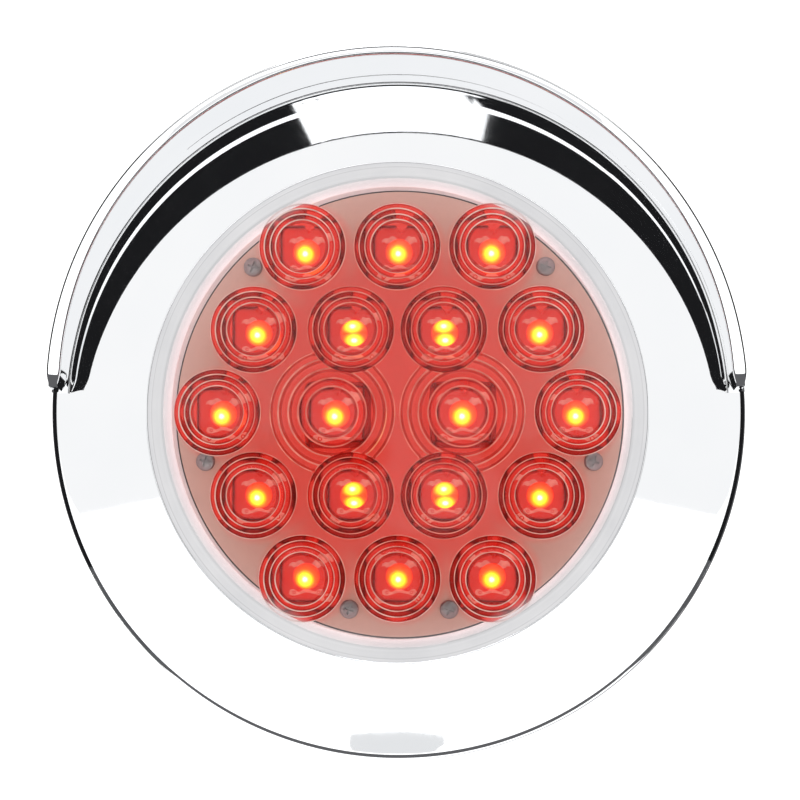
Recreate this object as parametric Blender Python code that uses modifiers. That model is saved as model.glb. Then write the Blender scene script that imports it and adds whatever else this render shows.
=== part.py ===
"""Round LED trailer tail light with a chrome visor bezel.

Metres, +Z up. The lamp's axis is Y and its lens faces -Y. The origin is the
centre of the round panel cut-out, in the panel's front face, so everything
at y < 0 stands in front of the panel and everything at y > 0 is behind it.
Turned profiles are written as (radius, forward) pairs in millimetres, where
forward is -Y.
"""
import math

import bmesh
import bpy
from mathutils import Matrix, Vector

MM = 0.001

# ---------------------------------------------------------------- dimensions
# Bezel and visor (chrome-plated ABS moulding)
BEZEL_OPENING_R = 51.1      # round opening that the lens stands in
BEZEL_EDGE_R = 70.2         # outer edge of the face
BEZEL_EDGE_F = 10.4         # where the face turns into the skirt
BEZEL_SKIRT_R = 72.1        # rear rim of the skirt
BEZEL_REAR_F = 0.5          # the rim stops just off the panel
VISOR_TOP_F = 45.5          # lip of the visor above the lens
VISOR_TIP_F = 22.5          # lip of the visor at its two ends
VISOR_TIP_Z = 4.8           # height of the two ends' lip above the axis
VISOR_FOOT_Z = 4.0          # height of the two ends where they meet the face
VISOR_ROOT_R = 67.8         # inside of the hood above its root fillet
VISOR_LIP_R = 68.5          # inside of the hood at its lip
VISOR_OUT_ROOT_R = 71.2     # outside of the hood where it leaves the skirt
VISOR_OUT_LIP_R = 70.3      # outside of the hood at its lip
LIP_ROUND = 0.8

# Claw ring (black ABS) that snaps over the grommet's flange
RING_BORE_R = 53.7
RING_WEB_R = 67.2
CLAW_OUT_R = 67.9
CLAW_IN_R = 66.9
CLAW_COUNT = 12
CLAW_GAP = 9.0

# Rubber grommet, for a 114.3 mm panel cut-out
CUTOUT_R = 57.15
GROMMET_NECK_R = 56.75
GROMMET_FLANGE_R = 66.5
GROMMET_FLANGE_T = 6.0
PANEL_T = 3.4
GROMMET_LIP_R = 59.3
GROMMET_REAR_F = -20.3

# Lamp
LENS_R = 50.7
LAMP_FLANGE_R = 54.7
LENS_FACE_F = 13.8
HOUSING_REAR_F = -22.0
BOARD_R = 46.9
BOARD_F = -4.6
BOARD_T = 1.6
OPTIC_R = 48.5
OPTIC_F = 9.6
OPTIC_T = 1.6
CELL_R = 9.1
BIG_CELL_R = 12.9

# LED bodies: 7.62 mm square, four legs, one dome
LED_W = 7.62
LED_H = 2.9
LED_LEG = 0.9
LED_DOME_R = 1.9
ROW_Z = 17.07
ROWS = (
    (2, (-19.55, 0.0, 19.55)),
    (1, (-29.6, -9.57, 9.57, 29.6)),
    (0, (-37.1, -13.37, 13.37, 37.1)),
    (-1, (-29.6, -9.57, 9.57, 29.6)),
    (-2, (-19.55, 0.0, 19.55)),
)

# Socket for a three-pin plug
SOCKET_L = 30.6
SOCKET_W = 13.0
SOCKET_WALL = 2.0
SOCKET_FLOOR_F = -12.0
SOCKET_MOUTH_F = -26.0
PIN_PITCH = 9.0
PIN_R = 2.0
PIN_TIP_F = -20.6

SCREWS = ((-30.8, 31.0), (30.8, 31.0), (-40.8, -10.0), (40.8, -10.0),
          (-10.5, -41.0), (10.5, -41.0))
SCREW_HEAD_R = 2.0
SCREW_R = 0.95

SEGS = 48
FINE_SEGS = 64             # bezel and hood

# ---------------------------------------------------------------- clean start
for ob in list(bpy.data.objects):
    bpy.data.objects.remove(ob, do_unlink=True)
for store in (bpy.data.meshes, bpy.data.curves, bpy.data.materials):
    for block in list(store):
        store.remove(block)
for coll in list(bpy.data.collections):
    bpy.data.collections.remove(coll)

parts = bpy.data.collections.new("trailer_tail_light")
cutters = bpy.data.collections.new("cutters")
bpy.context.scene.collection.children.link(parts)
bpy.context.scene.collection.children.link(cutters)

FORWARD = Matrix.Rotation(math.radians(90.0), 4, "X")   # local +Z to world -Y


def material(name, rgb, rough, metal, alpha=1.0, transmission=0.0, emission=None):
    mat = bpy.data.materials.new(name)
    mat.use_nodes = True
    node = mat.node_tree.nodes["Principled BSDF"]
    node.inputs["Base Color"].default_value = (*rgb, 1.0)
    node.inputs["Roughness"].default_value = rough
    node.inputs["Metallic"].default_value = metal
    node.inputs["Transmission Weight"].default_value = transmission
    node.inputs["Alpha"].default_value = alpha
    if emission:
        node.inputs["Emission Color"].default_value = (*emission, 1.0)
        node.inputs["Emission Strength"].default_value = 1.0
    mat.diffuse_color = (*rgb, alpha)
    return mat


def add(name, mesh, coll=parts, mat=None, matrix=None):
    ob = bpy.data.objects.new(name, mesh)
    coll.objects.link(ob)
    if mat is not None:
        mesh.materials.clear()
        mesh.materials.append(mat)
    if matrix is not None:
        ob.matrix_world = matrix
    if coll is cutters:
        ob.hide_render = True
        ob.display_type = "WIRE"
    return ob


def turned(name, profile, mat=None, coll=parts, segs=SEGS, closed=True):
    """A turned solid from (radius, forward) points in millimetres.

    A closed outline makes a ring. An open one starts and ends on the axis.
    The outline is put the way round that runs down its outer side.
    """
    area = 0.0
    loop = list(profile)
    for (r0, f0), (r1, f1) in zip(loop, loop[1:] + loop[:1]):
        area += r0 * f1 - r1 * f0
    if area > 0.0:
        loop.reverse()
    mesh = bpy.data.meshes.new(name)
    verts = [(r * MM, 0.0, f * MM) for r, f in loop]
    edges = [(i, i + 1) for i in range(len(verts) - 1)]
    if closed:
        edges.append((len(verts) - 1, 0))
    mesh.from_pydata(verts, edges, [])
    ob = add(name, mesh, coll, mat, FORWARD)
    screw = ob.modifiers.new("turn", "SCREW")
    screw.axis = "Z"
    screw.angle = math.tau
    screw.steps = segs
    screw.render_steps = segs
    screw.use_merge_vertices = True
    screw.merge_threshold = 0.00001
    screw.use_smooth_shade = True
    return ob


def cylinder_mesh(name, radius, f0, f1, x=0.0, z=0.0, segs=24):
    """A closed cylinder along the lamp's axis, between two forward values."""
    bm = bmesh.new()
    bmesh.ops.create_cone(bm, cap_ends=True, segments=segs, radius1=radius * MM,
                          radius2=radius * MM, depth=abs(f1 - f0) * MM)
    bmesh.ops.transform(bm, matrix=Matrix.Translation(
        (x * MM, -0.5 * (f0 + f1) * MM, z * MM)) @ FORWARD, verts=bm.verts)
    mesh = bpy.data.meshes.new(name)
    bm.to_mesh(mesh)
    bm.free()
    return mesh


def box_mesh(name, centre, size, turn=0.0):
    """A box in millimetres, turned about the lamp's axis by turn radians."""
    bm = bmesh.new()
    bmesh.ops.create_cube(bm, size=1.0, matrix=Matrix.Rotation(turn, 4, "Y")
                          @ Matrix.Translation(Vector(centre) * MM)
                          @ Matrix.Diagonal((size[0] * MM, size[1] * MM, size[2] * MM, 1.0)))
    mesh = bpy.data.meshes.new(name)
    bm.to_mesh(mesh)
    bm.free()
    return mesh


def merged_mesh(name, meshes):
    """One mesh holding several separate closed solids."""
    bm = bmesh.new()
    for mesh in meshes:
        bm.from_mesh(mesh)
        bpy.data.meshes.remove(mesh)
    out = bpy.data.meshes.new(name)
    bm.to_mesh(out)
    bm.free()
    return out


def stadium_mesh(name, length, width, f0, f1, arc=10):
    """A closed prism with round ends, long side along X."""
    rad = 0.5 * width
    half = 0.5 * length - rad
    outline = []
    for k in range(arc + 1):
        a = -0.5 * math.pi + math.pi * k / arc
        outline.append((half + rad * math.cos(a), rad * math.sin(a)))
    for k in range(arc + 1):
        a = 0.5 * math.pi + math.pi * k / arc
        outline.append((-half + rad * math.cos(a), rad * math.sin(a)))
    bm = bmesh.new()
    low = min(f0, f1)
    ring = [bm.verts.new((x * MM, -low * MM, z * MM)) for x, z in outline]
    face = bm.faces.new(ring)
    out = bmesh.ops.extrude_face_region(bm, geom=[face])
    moved = [g for g in out["geom"] if isinstance(g, bmesh.types.BMVert)]
    bmesh.ops.translate(bm, vec=(0.0, -abs(f1 - f0) * MM, 0.0), verts=moved)
    bmesh.ops.recalc_face_normals(bm, faces=bm.faces[:])
    mesh = bpy.data.meshes.new(name)
    bm.to_mesh(mesh)
    bm.free()
    return mesh


def boolean(ob, cutter, operation):
    mod = ob.modifiers.new(operation.lower(), "BOOLEAN")
    mod.operation = operation
    mod.solver = "EXACT"
    mod.object = cutter
    return mod


def cutter(name, mesh):
    return add(name, mesh, cutters)


def baked(ob, name):
    """The evaluated mesh of an object, in the object's own space."""
    bpy.context.view_layer.update()
    graph = bpy.context.evaluated_depsgraph_get()
    mesh = bpy.data.meshes.new_from_object(ob.evaluated_get(graph))
    mesh.name = name
    return mesh


def smooth(ob, degrees=35.0):
    ob.data.shade_smooth()
    ob.data.set_sharp_from_angle(angle=math.radians(degrees))


# ---------------------------------------------------------------- materials
CHROME = material("chrome_plated_abs", (0.92, 0.93, 0.94), 0.05, 1.0)
BLACK_ABS = material("black_abs", (0.03, 0.03, 0.032), 0.45, 0.0)
RUBBER = material("black_rubber", (0.02, 0.02, 0.02), 0.75, 0.0)
HOUSING = material("housing_plastic", (0.10, 0.10, 0.105), 0.5, 0.0)
CLEAR = material("clear_lens", (0.95, 0.96, 0.97), 0.03, 0.0, 0.3, 1.0)
OPTIC = material("clear_optics", (0.97, 0.94, 0.93), 0.05, 0.0, 0.4, 1.0)
BOARD = material("white_board", (0.78, 0.66, 0.60), 0.5, 0.0)
LED_RED = material("red_led", (0.85, 0.06, 0.03), 0.1, 0.0, 1.0, 0.3, (1.0, 0.08, 0.02))
BRASS = material("plated_brass", (0.80, 0.66, 0.38), 0.25, 1.0)
STEEL = material("zinc_steel", (0.52, 0.52, 0.52), 0.35, 1.0)
SEAL = material("grey_silicone", (0.35, 0.36, 0.37), 0.6, 0.0)
EPOXY = material("black_epoxy", (0.02, 0.02, 0.02), 0.3, 0.0)
CHIP = material("ceramic_chip", (0.06, 0.06, 0.07), 0.4, 0.0)
DIODE = material("diode_package", (0.04, 0.04, 0.04), 0.5, 0.0)

# ---------------------------------------------------------------- grommet
turned("rubber_grommet", [
    (55.1, 0.6), (55.1, 5.4), (55.7, GROMMET_FLANGE_T), (65.7, GROMMET_FLANGE_T),
    (GROMMET_FLANGE_R, 5.2), (GROMMET_FLANGE_R, 0.6), (66.1, 0.0),
    (GROMMET_NECK_R, 0.0), (GROMMET_NECK_R, -PANEL_T), (58.6, -PANEL_T),
    (GROMMET_LIP_R, -4.2), (GROMMET_LIP_R, -6.2), (55.4, -18.6),
    (54.2, GROMMET_REAR_F), (51.5, GROMMET_REAR_F), (51.1, -19.8), (51.1, 0.6),
], RUBBER)

# ---------------------------------------------------------------- claw ring
ring = turned("claw_ring", [
    (RING_BORE_R, 6.3), (RING_BORE_R, 9.3), (54.9, 9.3), (55.3, 8.9), (55.3, 7.5),
    (66.6, 7.5), (RING_WEB_R, 7.0), (CLAW_OUT_R, 6.2), (CLAW_OUT_R, 1.2),
    (67.5, 0.9), (CLAW_IN_R, 1.3), (CLAW_IN_R, 6.3),
], BLACK_ABS)
gaps = []
for k in range(CLAW_COUNT):
    turn = math.tau * (k + 0.5) / CLAW_COUNT
    gaps.append(box_mesh("gap", (0.5 * (CLAW_IN_R + CLAW_OUT_R), -2.6, 0.0),
                         (4.0, 7.0, CLAW_GAP), turn))
boolean(ring, cutter("cut_claw_gaps", merged_mesh("cut_claw_gaps", gaps)), "DIFFERENCE")

# ---------------------------------------------------------------- bezel, visor
# The hood is a conical tube that two flat cuts trim: one slants back from the
# lip above the lens to the two ends, one trims the ends down to the face.
OVER = 4.0                  # the blank stands this far past the top lip
lean_in = (VISOR_LIP_R - VISOR_ROOT_R) / (VISOR_TOP_F - 13.4)
lean_out = (VISOR_OUT_LIP_R - VISOR_OUT_ROOT_R) / (VISOR_TOP_F - 5.2)
hood = turned("hood_blank", [
    (69.9, 5.2), (69.0, 8.6), (65.3, 9.8), (65.3, 11.2), (66.2, 11.35),
    (67.0, 11.75), (67.55, 12.45), (VISOR_ROOT_R, 13.4),
    (VISOR_LIP_R + OVER * lean_in, VISOR_TOP_F + OVER),
    (VISOR_OUT_LIP_R + OVER * lean_out, VISOR_TOP_F + OVER),
    (VISOR_OUT_ROOT_R, 5.2),
], coll=cutters, segs=FINE_SEGS)
slope = math.atan2(VISOR_TOP_F - VISOR_TIP_F, VISOR_OUT_LIP_R - VISOR_TIP_Z)
mesh = box_mesh("cut_hood_front", (0.0, 0.0, 0.0), (200.0, 60.0, 240.0))
front_cut = cutter("cut_hood_front", mesh)
# the cutter's rear face passes through the top lip and through the two ends
front_cut.matrix_world = (Matrix.Translation((0.0, -VISOR_TIP_F * MM, VISOR_TIP_Z * MM))
                          @ Matrix.Rotation(slope, 4, "X")
                          @ Matrix.Translation((0.0, -30.0 * MM, 0.0)))
boolean(hood, front_cut, "DIFFERENCE")
foot = math.atan2(VISOR_TIP_Z - VISOR_FOOT_Z, VISOR_TIP_F - 11.0)
low_cut = cutter("cut_hood_below", box_mesh("cut_hood_below", (0.0, 0.0, 0.0),
                                            (200.0, 140.0, 120.0)))
low_cut.matrix_world = (Matrix.Translation((0.0, -11.0 * MM, VISOR_FOOT_Z * MM))
                        @ Matrix.Rotation(-foot, 4, "X")
                        @ Matrix.Translation((0.0, 0.0, -60.0 * MM)))
boolean(hood, low_cut, "DIFFERENCE")
lip = hood.modifiers.new("lip", "BEVEL")
lip.width = LIP_ROUND * MM
lip.segments = 2
lip.limit_method = "ANGLE"
lip.angle_limit = math.radians(50.0)

bezel = turned("bezel_visor", [
    (BEZEL_OPENING_R, 7.8), (BEZEL_OPENING_R, 11.9), (51.4, 12.4), (52.2, 12.6),
    (57.0, 12.25), (62.0, 11.75), (66.0, 11.25), (69.0, 10.8), (69.8, 10.6),
    (BEZEL_EDGE_R, BEZEL_EDGE_F - 0.2), (70.5, 9.2), (BEZEL_SKIRT_R, 1.0),
    (BEZEL_SKIRT_R, BEZEL_REAR_F), (70.1, BEZEL_REAR_F), (69.8, 1.6), (68.5, 7.8),
    (67.6, 8.5), (64.0, 9.3), (58.0, 9.95), (53.3, 10.3), (53.3, 7.8),
], CHROME, segs=FINE_SEGS)
boolean(bezel, hood, "UNION")

# ---------------------------------------------------------------- lamp shells
housing = turned("lamp_housing", [
    (0.0, -20.0), (43.6, -20.0), (44.8, -19.0), (45.3, -6.5), (48.9, -6.5),
    (48.9, 3.4), (54.4, 3.4), (LAMP_FLANGE_R, 3.1), (LAMP_FLANGE_R, 1.2),
    (54.4, 0.9), (LENS_R, 0.9), (50.5, -8.0), (48.2, -10.0), (47.4, -20.6),
    (46.2, HOUSING_REAR_F), (0.0, HOUSING_REAR_F),
], HOUSING, closed=False)
boolean(housing, cutter("socket_boss", stadium_mesh(
    "socket_boss", SOCKET_L + 2 * SOCKET_WALL, SOCKET_W + 2 * SOCKET_WALL,
    SOCKET_FLOOR_F + 2.0, SOCKET_MOUTH_F)), "UNION")
boolean(housing, cutter("screw_bosses", merged_mesh("screw_bosses", [
    cylinder_mesh("boss", 2.6, -6.5, -21.0, x, z, 16) for x, z in SCREWS])), "UNION")
boolean(housing, cutter("cut_socket", stadium_mesh(
    "cut_socket", SOCKET_L, SOCKET_W, SOCKET_FLOOR_F, SOCKET_MOUTH_F - 1.0)), "DIFFERENCE")
holes = [cylinder_mesh("hole", SCREW_R + 0.35, -5.0, -14.0, x, z, 12) for x, z in SCREWS]
holes += [cylinder_mesh("hole", PIN_R + 0.3, -9.0, -13.0, x, 0.0, 16)
          for x in (-PIN_PITCH, 0.0, PIN_PITCH)]
boolean(housing, cutter("cut_housing_holes", merged_mesh("cut_housing_holes", holes)),
        "DIFFERENCE")

turned("lens", [
    (0.0, LENS_FACE_F), (25.0, 13.7), (40.0, 13.4), (47.0, 13.0), (49.2, 12.5),
    (50.3, 11.5), (LENS_R - 0.05, 10.3), (LENS_R, 6.0), (54.4, 6.0),
    (LAMP_FLANGE_R, 5.7), (LAMP_FLANGE_R, 4.9), (54.4, 4.6), (48.9, 4.6),
    (48.7, 9.9), (48.2, 10.9), (46.8, 11.4), (40.0, 11.6), (0.0, 11.9),
], CLEAR, closed=False)

turned("lens_seal", [
    (51.0, 3.7), (51.0, 4.3), (54.2, 4.3), (54.2, 3.7),
], SEAL)

# ---------------------------------------------------------------- optic plate
optic = turned("optic_plate", [
    (0.0, OPTIC_F), (48.4, OPTIC_F), (OPTIC_R, -6.1), (47.3, -6.1),
    (47.3, 6.0), (46.6, OPTIC_F - OPTIC_T), (0.0, OPTIC_F - OPTIC_T),
], OPTIC, closed=False)
cells = []
for row, xs in ROWS:
    for x in xs:
        big = row == 0 and abs(x) < 20.0
        rad = BIG_CELL_R if big else CELL_R
        cells.append((x, row * ROW_Z, rad, 10.1 if big else 10.4))
# the cells stand proud of the plate's front, except where the rim trims them
for k, (x, z, rad, top) in enumerate(cells):
    blank = cutter("cell_%02d" % (k + 1),
                   cylinder_mesh("cell_%02d" % (k + 1), rad, OPTIC_F - 0.6, top, x, z, 20))
    boolean(optic, blank, "UNION")

# ---------------------------------------------------------------- board
board = add("circuit_board", cylinder_mesh("circuit_board", BOARD_R, BOARD_F,
                                           BOARD_F - BOARD_T, segs=SEGS), parts, BOARD)
boolean(board, cutter("cut_board_holes", merged_mesh("cut_board_holes", [
    cylinder_mesh("hole", 1.4, BOARD_F + 1.0, BOARD_F - BOARD_T - 1.0, x, z, 12)
    for x, z in SCREWS])), "DIFFERENCE")

# ---------------------------------------------------------------- LEDs
led_top = BOARD_F + 0.3 + LED_LEG + LED_H
body = cutter("led_blank", box_mesh("led_blank", (0.0, -(led_top - 0.5 * LED_H), 0.0),
                                    (LED_W, LED_H, LED_W)))
edge = body.modifiers.new("edge", "BEVEL")
edge.width = 0.45 * MM
edge.segments = 1
edge.limit_method = "ANGLE"
legs = []
for sx in (-1, 1):
    for sz in (-1, 1):
        legs.append(box_mesh("leg", (sx * 2.54, -(led_top - LED_H - 0.5 * LED_LEG + 0.1),
                                     sz * 2.54), (0.9, LED_LEG + 0.2, 0.5)))
boolean(body, cutter("led_legs", merged_mesh("led_legs", legs)), "UNION")
bm = bmesh.new()
bmesh.ops.create_uvsphere(bm, u_segments=10, v_segments=6, radius=LED_DOME_R * MM,
                          matrix=Matrix.Translation((0.0, -(led_top - 0.1) * MM, 0.0)) @ FORWARD)
mesh = bpy.data.meshes.new("led_dome")
bm.to_mesh(mesh)
bm.free()
boolean(body, cutter("led_dome", mesh), "UNION")
led_mesh = baked(body, "led")
led_mesh.materials.clear()
led_mesh.materials.append(LED_RED)
led_mesh.shade_smooth()
led_mesh.set_sharp_from_angle(angle=math.radians(35.0))
bpy.data.objects.remove(body, do_unlink=True)
for name in ("led_legs", "led_dome"):
    bpy.data.objects.remove(bpy.data.objects[name], do_unlink=True)
for k, (x, z, _, _) in enumerate(cells):
    ob = bpy.data.objects.new("led_%02d" % (k + 1), led_mesh)
    parts.objects.link(ob)
    ob.location = (x * MM, 0.0, z * MM)

# ---------------------------------------------------------------- electronics
back = BOARD_F - BOARD_T - 0.3


def chip(name, x, z, size, turn, mat, round_mm):
    """A surface-mounted part on the board's rear face: size is X, depth, Z."""
    bm = bmesh.new()
    bmesh.ops.create_cube(bm, size=1.0, matrix=Matrix.Diagonal(
        (size[0] * MM, size[1] * MM, size[2] * MM, 1.0)))
    mesh = bpy.data.meshes.new(name)
    bm.to_mesh(mesh)
    bm.free()
    ob = add(name, mesh, parts, mat)
    ob.location = (x * MM, -(back - 0.5 * size[1]) * MM, z * MM)
    ob.rotation_euler = (0.0, turn, 0.0)
    edge = ob.modifiers.new("edge", "BEVEL")
    edge.width = round_mm * MM
    edge.segments = 1
    return ob


for k in range(6):
    a = math.radians(30.0 + 60.0 * k)
    chip("resistor_%d" % (k + 1), 27.0 * math.cos(a), 27.0 * math.sin(a),
         (6.3, 0.7, 3.2), -a, CHIP, 0.15)
for k, x in enumerate((-14.0, 0.0, 14.0)):
    chip("diode_%d" % (k + 1), x, 14.5, (4.4, 2.1, 2.7), 0.0, DIODE, 0.25)

for name, x in (("terminal_tail", -PIN_PITCH), ("terminal_ground", 0.0),
                ("terminal_stop", PIN_PITCH)):
    ob = turned(name, [
        (0.0, back), (0.9, back), (0.9, -9.0), (PIN_R, -9.4), (PIN_R, PIN_TIP_F + 0.8),
        (1.7, PIN_TIP_F + 0.2), (1.1, PIN_TIP_F), (0.0, PIN_TIP_F)],
        BRASS, segs=12, closed=False)
    ob.matrix_world = Matrix.Translation((x * MM, 0.0, 0.0)) @ FORWARD

seal = add("terminal_potting", stadium_mesh("terminal_potting", 27.0, 9.0, -9.7, -8.0),
           parts, EPOXY)
boolean(seal, cutter("cut_potting", merged_mesh("cut_potting", [
    cylinder_mesh("hole", PIN_R + 0.3, -7.0, -11.0, x, 0.0, 16)
    for x in (-PIN_PITCH, 0.0, PIN_PITCH)])), "DIFFERENCE")

for k, (x, z) in enumerate(SCREWS):
    ob = turned("board_screw_%d" % (k + 1), [
        (0.0, -3.0), (1.3, -3.05), (1.8, -3.4), (SCREW_HEAD_R, -3.8),
        (SCREW_HEAD_R, BOARD_F + 0.3), (SCREW_R, BOARD_F + 0.3),
        (SCREW_R, -12.4), (0.4, -13.2), (0.0, -13.2)], STEEL, segs=10, closed=False)
    ob.matrix_world = Matrix.Translation((x * MM, 0.0, z * MM)) @ FORWARD

for ob in parts.objects:
    if ob.name.startswith("led_"):
        continue
    if ob.modifiers and ob.modifiers[0].type == "SCREW":
        continue
    smooth(ob)
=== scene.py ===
import math

import bmesh
import bpy
import numpy as np
from mathutils import Matrix, Vector
from mathutils.geometry import delaunay_2d_cdt


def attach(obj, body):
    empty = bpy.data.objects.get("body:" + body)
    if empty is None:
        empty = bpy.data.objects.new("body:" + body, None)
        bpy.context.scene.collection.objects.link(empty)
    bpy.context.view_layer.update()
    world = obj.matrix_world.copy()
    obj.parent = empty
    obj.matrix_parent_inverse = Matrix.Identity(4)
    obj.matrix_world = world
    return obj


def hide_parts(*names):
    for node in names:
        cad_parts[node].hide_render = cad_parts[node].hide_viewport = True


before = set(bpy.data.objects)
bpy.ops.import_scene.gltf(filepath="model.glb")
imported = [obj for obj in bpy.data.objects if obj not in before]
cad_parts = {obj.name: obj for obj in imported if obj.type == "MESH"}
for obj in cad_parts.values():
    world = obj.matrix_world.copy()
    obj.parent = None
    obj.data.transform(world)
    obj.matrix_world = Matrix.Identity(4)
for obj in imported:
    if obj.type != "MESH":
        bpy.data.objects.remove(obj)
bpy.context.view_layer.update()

MM = 0.001
scene = bpy.context.scene
scene.view_settings.view_transform = "Standard"
scene.view_settings.look = "None"


# ================================================================ mesh helpers
# Profiles are (radius, forward) in millimetres, forward being -Y.
def point(r, f, a):
    return (r * math.cos(a) * MM, -f * MM, r * math.sin(a) * MM)


def new_object(name, verts, faces, mats, smooth_deg=32.0, face_mats=None):
    mesh = bpy.data.meshes.new(name)
    mesh.from_pydata(verts, [], faces)
    for mat in mats:
        mesh.materials.append(mat)
    if face_mats is not None:
        mesh.polygons.foreach_set("material_index", face_mats)
    mesh.validate()
    bm = bmesh.new()
    bm.from_mesh(mesh)
    bmesh.ops.remove_doubles(bm, verts=bm.verts, dist=1e-8)
    bmesh.ops.recalc_face_normals(bm, faces=bm.faces)
    bm.to_mesh(mesh)
    bm.free()
    mesh.shade_smooth()
    mesh.set_sharp_from_angle(angle=math.radians(smooth_deg))
    ob = bpy.data.objects.new(name, mesh)
    scene.collection.objects.link(ob)
    return ob


def from_bmesh(name, bm, mats, smooth_deg=32.0):
    mesh = bpy.data.meshes.new(name)
    bmesh.ops.recalc_face_normals(bm, faces=bm.faces)
    bm.to_mesh(mesh)
    bm.free()
    for mat in mats:
        mesh.materials.append(mat)
    mesh.shade_smooth()
    mesh.set_sharp_from_angle(angle=math.radians(smooth_deg))
    ob = bpy.data.objects.new(name, mesh)
    scene.collection.objects.link(ob)
    return ob


def rounded(pts, radii, steps=4, closed=True):
    """A polyline whose corners are replaced by arcs. radii is one number or a dict by index."""
    out = []
    n = len(pts)
    for i, p in enumerate(pts):
        rad = radii.get(i, radii.get("all", 0.0)) if isinstance(radii, dict) else radii
        if rad <= 0.0 or (not closed and i in (0, n - 1)):
            out.append(tuple(p))
            continue
        p0 = np.array(pts[i - 1], float)
        p1 = np.array(p, float)
        p2 = np.array(pts[(i + 1) % n], float)
        a, b = p0 - p1, p2 - p1
        la, lb = np.linalg.norm(a), np.linalg.norm(b)
        a, b = a / la, b / lb
        cosang = float(np.clip(a @ b, -1, 1))
        ang = math.acos(cosang)
        if ang > math.radians(172) or ang < 0.05:
            out.append(tuple(p))
            continue
        t = min(rad / math.tan(ang / 2), 0.46 * la, 0.46 * lb)
        rr = t * math.tan(ang / 2)
        mid = (a + b) / np.linalg.norm(a + b)
        c = p1 + mid * (rr / math.sin(ang / 2))
        s, e = p1 + a * t - c, p1 + b * t - c
        a0 = math.atan2(s[1], s[0])
        d = math.atan2(e[1], e[0]) - a0
        while d > math.pi:
            d -= math.tau
        while d < -math.pi:
            d += math.tau
        for k in range(steps + 1):
            q = a0 + d * k / steps
            out.append((c[0] + rr * math.cos(q), c[1] + rr * math.sin(q)))
    return out


def lathe_data(prof, segs, closed=True, centre=(0.0, 0.0), base=0):
    """Vertices and faces of a turned closed solid; open outlines start and end on the axis."""
    verts, faces = [], []
    n = len(prof)
    cx, cz = centre
    ids = []
    for r, f in prof:
        if r < 1e-6:
            ids.append([len(verts) + base] * segs)
            verts.append((cx * MM, -f * MM, cz * MM))
        else:
            row = []
            for k in range(segs):
                a = math.tau * k / segs
                row.append(len(verts) + base)
                verts.append(((cx + r * math.cos(a)) * MM, -f * MM, (cz + r * math.sin(a)) * MM))
            ids.append(row)
    last = n if closed else n - 1
    for i in range(last):
        a, b = ids[i], ids[(i + 1) % n]
        for k in range(segs):
            j = (k + 1) % segs
            quad = [a[k], a[j], b[j], b[k]]
            clean = [v for m, v in enumerate(quad) if v != quad[m - 1]]
            if len(set(clean)) >= 3:
                faces.append(tuple(clean))
    return verts, faces


def lathe(name, prof, mats, segs=192, closed=True, centre=(0.0, 0.0), smooth_deg=32.0):
    v, f = lathe_data(prof, segs, closed, centre)
    return new_object(name, v, f, mats, smooth_deg)


def merged(name, parts, mats, smooth_deg=32.0):
    """One object from several (verts, faces) closed solids, each with its material index."""
    verts, faces, idx = [], [], []
    for item in parts:
        v, f = item[0], item[1]
        m = item[2] if len(item) > 2 else 0
        base = len(verts)
        verts += v
        faces += [tuple(i + base for i in face) for face in f]
        idx += [m] * len(f)
    mesh = bpy.data.meshes.new(name)
    mesh.from_pydata(verts, [], faces)
    for mat in mats:
        mesh.materials.append(mat)
    mesh.polygons.foreach_set("material_index", idx)
    bm = bmesh.new()
    bm.from_mesh(mesh)
    bmesh.ops.recalc_face_normals(bm, faces=bm.faces)
    bm.to_mesh(mesh)
    bm.free()
    mesh.shade_smooth()
    mesh.set_sharp_from_angle(angle=math.radians(smooth_deg))
    ob = bpy.data.objects.new(name, mesh)
    scene.collection.objects.link(ob)
    return ob


def prism_data(outline, levels, centre=(0.0, 0.0), turn=0.0):
    """A closed solid from an (x, z) outline and (forward, inset) levels, fan-capped at both ends."""
    n = len(outline)
    o = np.array(outline, float)
    nxt, prv = np.roll(o, -1, 0), np.roll(o, 1, 0)
    tang = nxt - prv
    tang /= np.linalg.norm(tang, axis=1)[:, None] + 1e-12
    area = 0.5 * np.sum(o[:, 0] * nxt[:, 1] - nxt[:, 0] * o[:, 1])
    norm = np.stack([tang[:, 1], -tang[:, 0]], 1) * (1 if area > 0 else -1)
    c, s = math.cos(turn), math.sin(turn)
    verts, faces = [], []
    for f, inset in levels:
        for x, z in o - norm * inset:
            verts.append(((centre[0] + c * x - s * z) * MM, -f * MM,
                          (centre[1] + s * x + c * z) * MM))
    for i in range(len(levels) - 1):
        for k in range(n):
            j = (k + 1) % n
            faces.append((i * n + k, i * n + j, (i + 1) * n + j, (i + 1) * n + k))
    faces.append(tuple(range(n)))
    faces.append(tuple((len(levels) - 1) * n + k for k in reversed(range(n))))
    return verts, faces


def round_rect(w, h, r, steps=6):
    pts = []
    for cx, cz, a0 in ((w / 2 - r, h / 2 - r, 0), (-w / 2 + r, h / 2 - r, 90),
                       (-w / 2 + r, -h / 2 + r, 180), (w / 2 - r, -h / 2 + r, 270)):
        for k in range(steps + 1):
            a = math.radians(a0 + 90.0 * k / steps)
            pts.append((cx + r * math.cos(a), cz + r * math.sin(a)))
    return pts


def stadium(length, width, steps=24):
    rad = 0.5 * width
    half = 0.5 * length - rad
    pts = []
    for k in range(steps + 1):
        a = -0.5 * math.pi + math.pi * k / steps
        pts.append((half + rad * math.cos(a), rad * math.sin(a)))
    for k in range(steps + 1):
        a = 0.5 * math.pi + math.pi * k / steps
        pts.append((-half + rad * math.cos(a), rad * math.sin(a)))
    return pts


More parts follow.
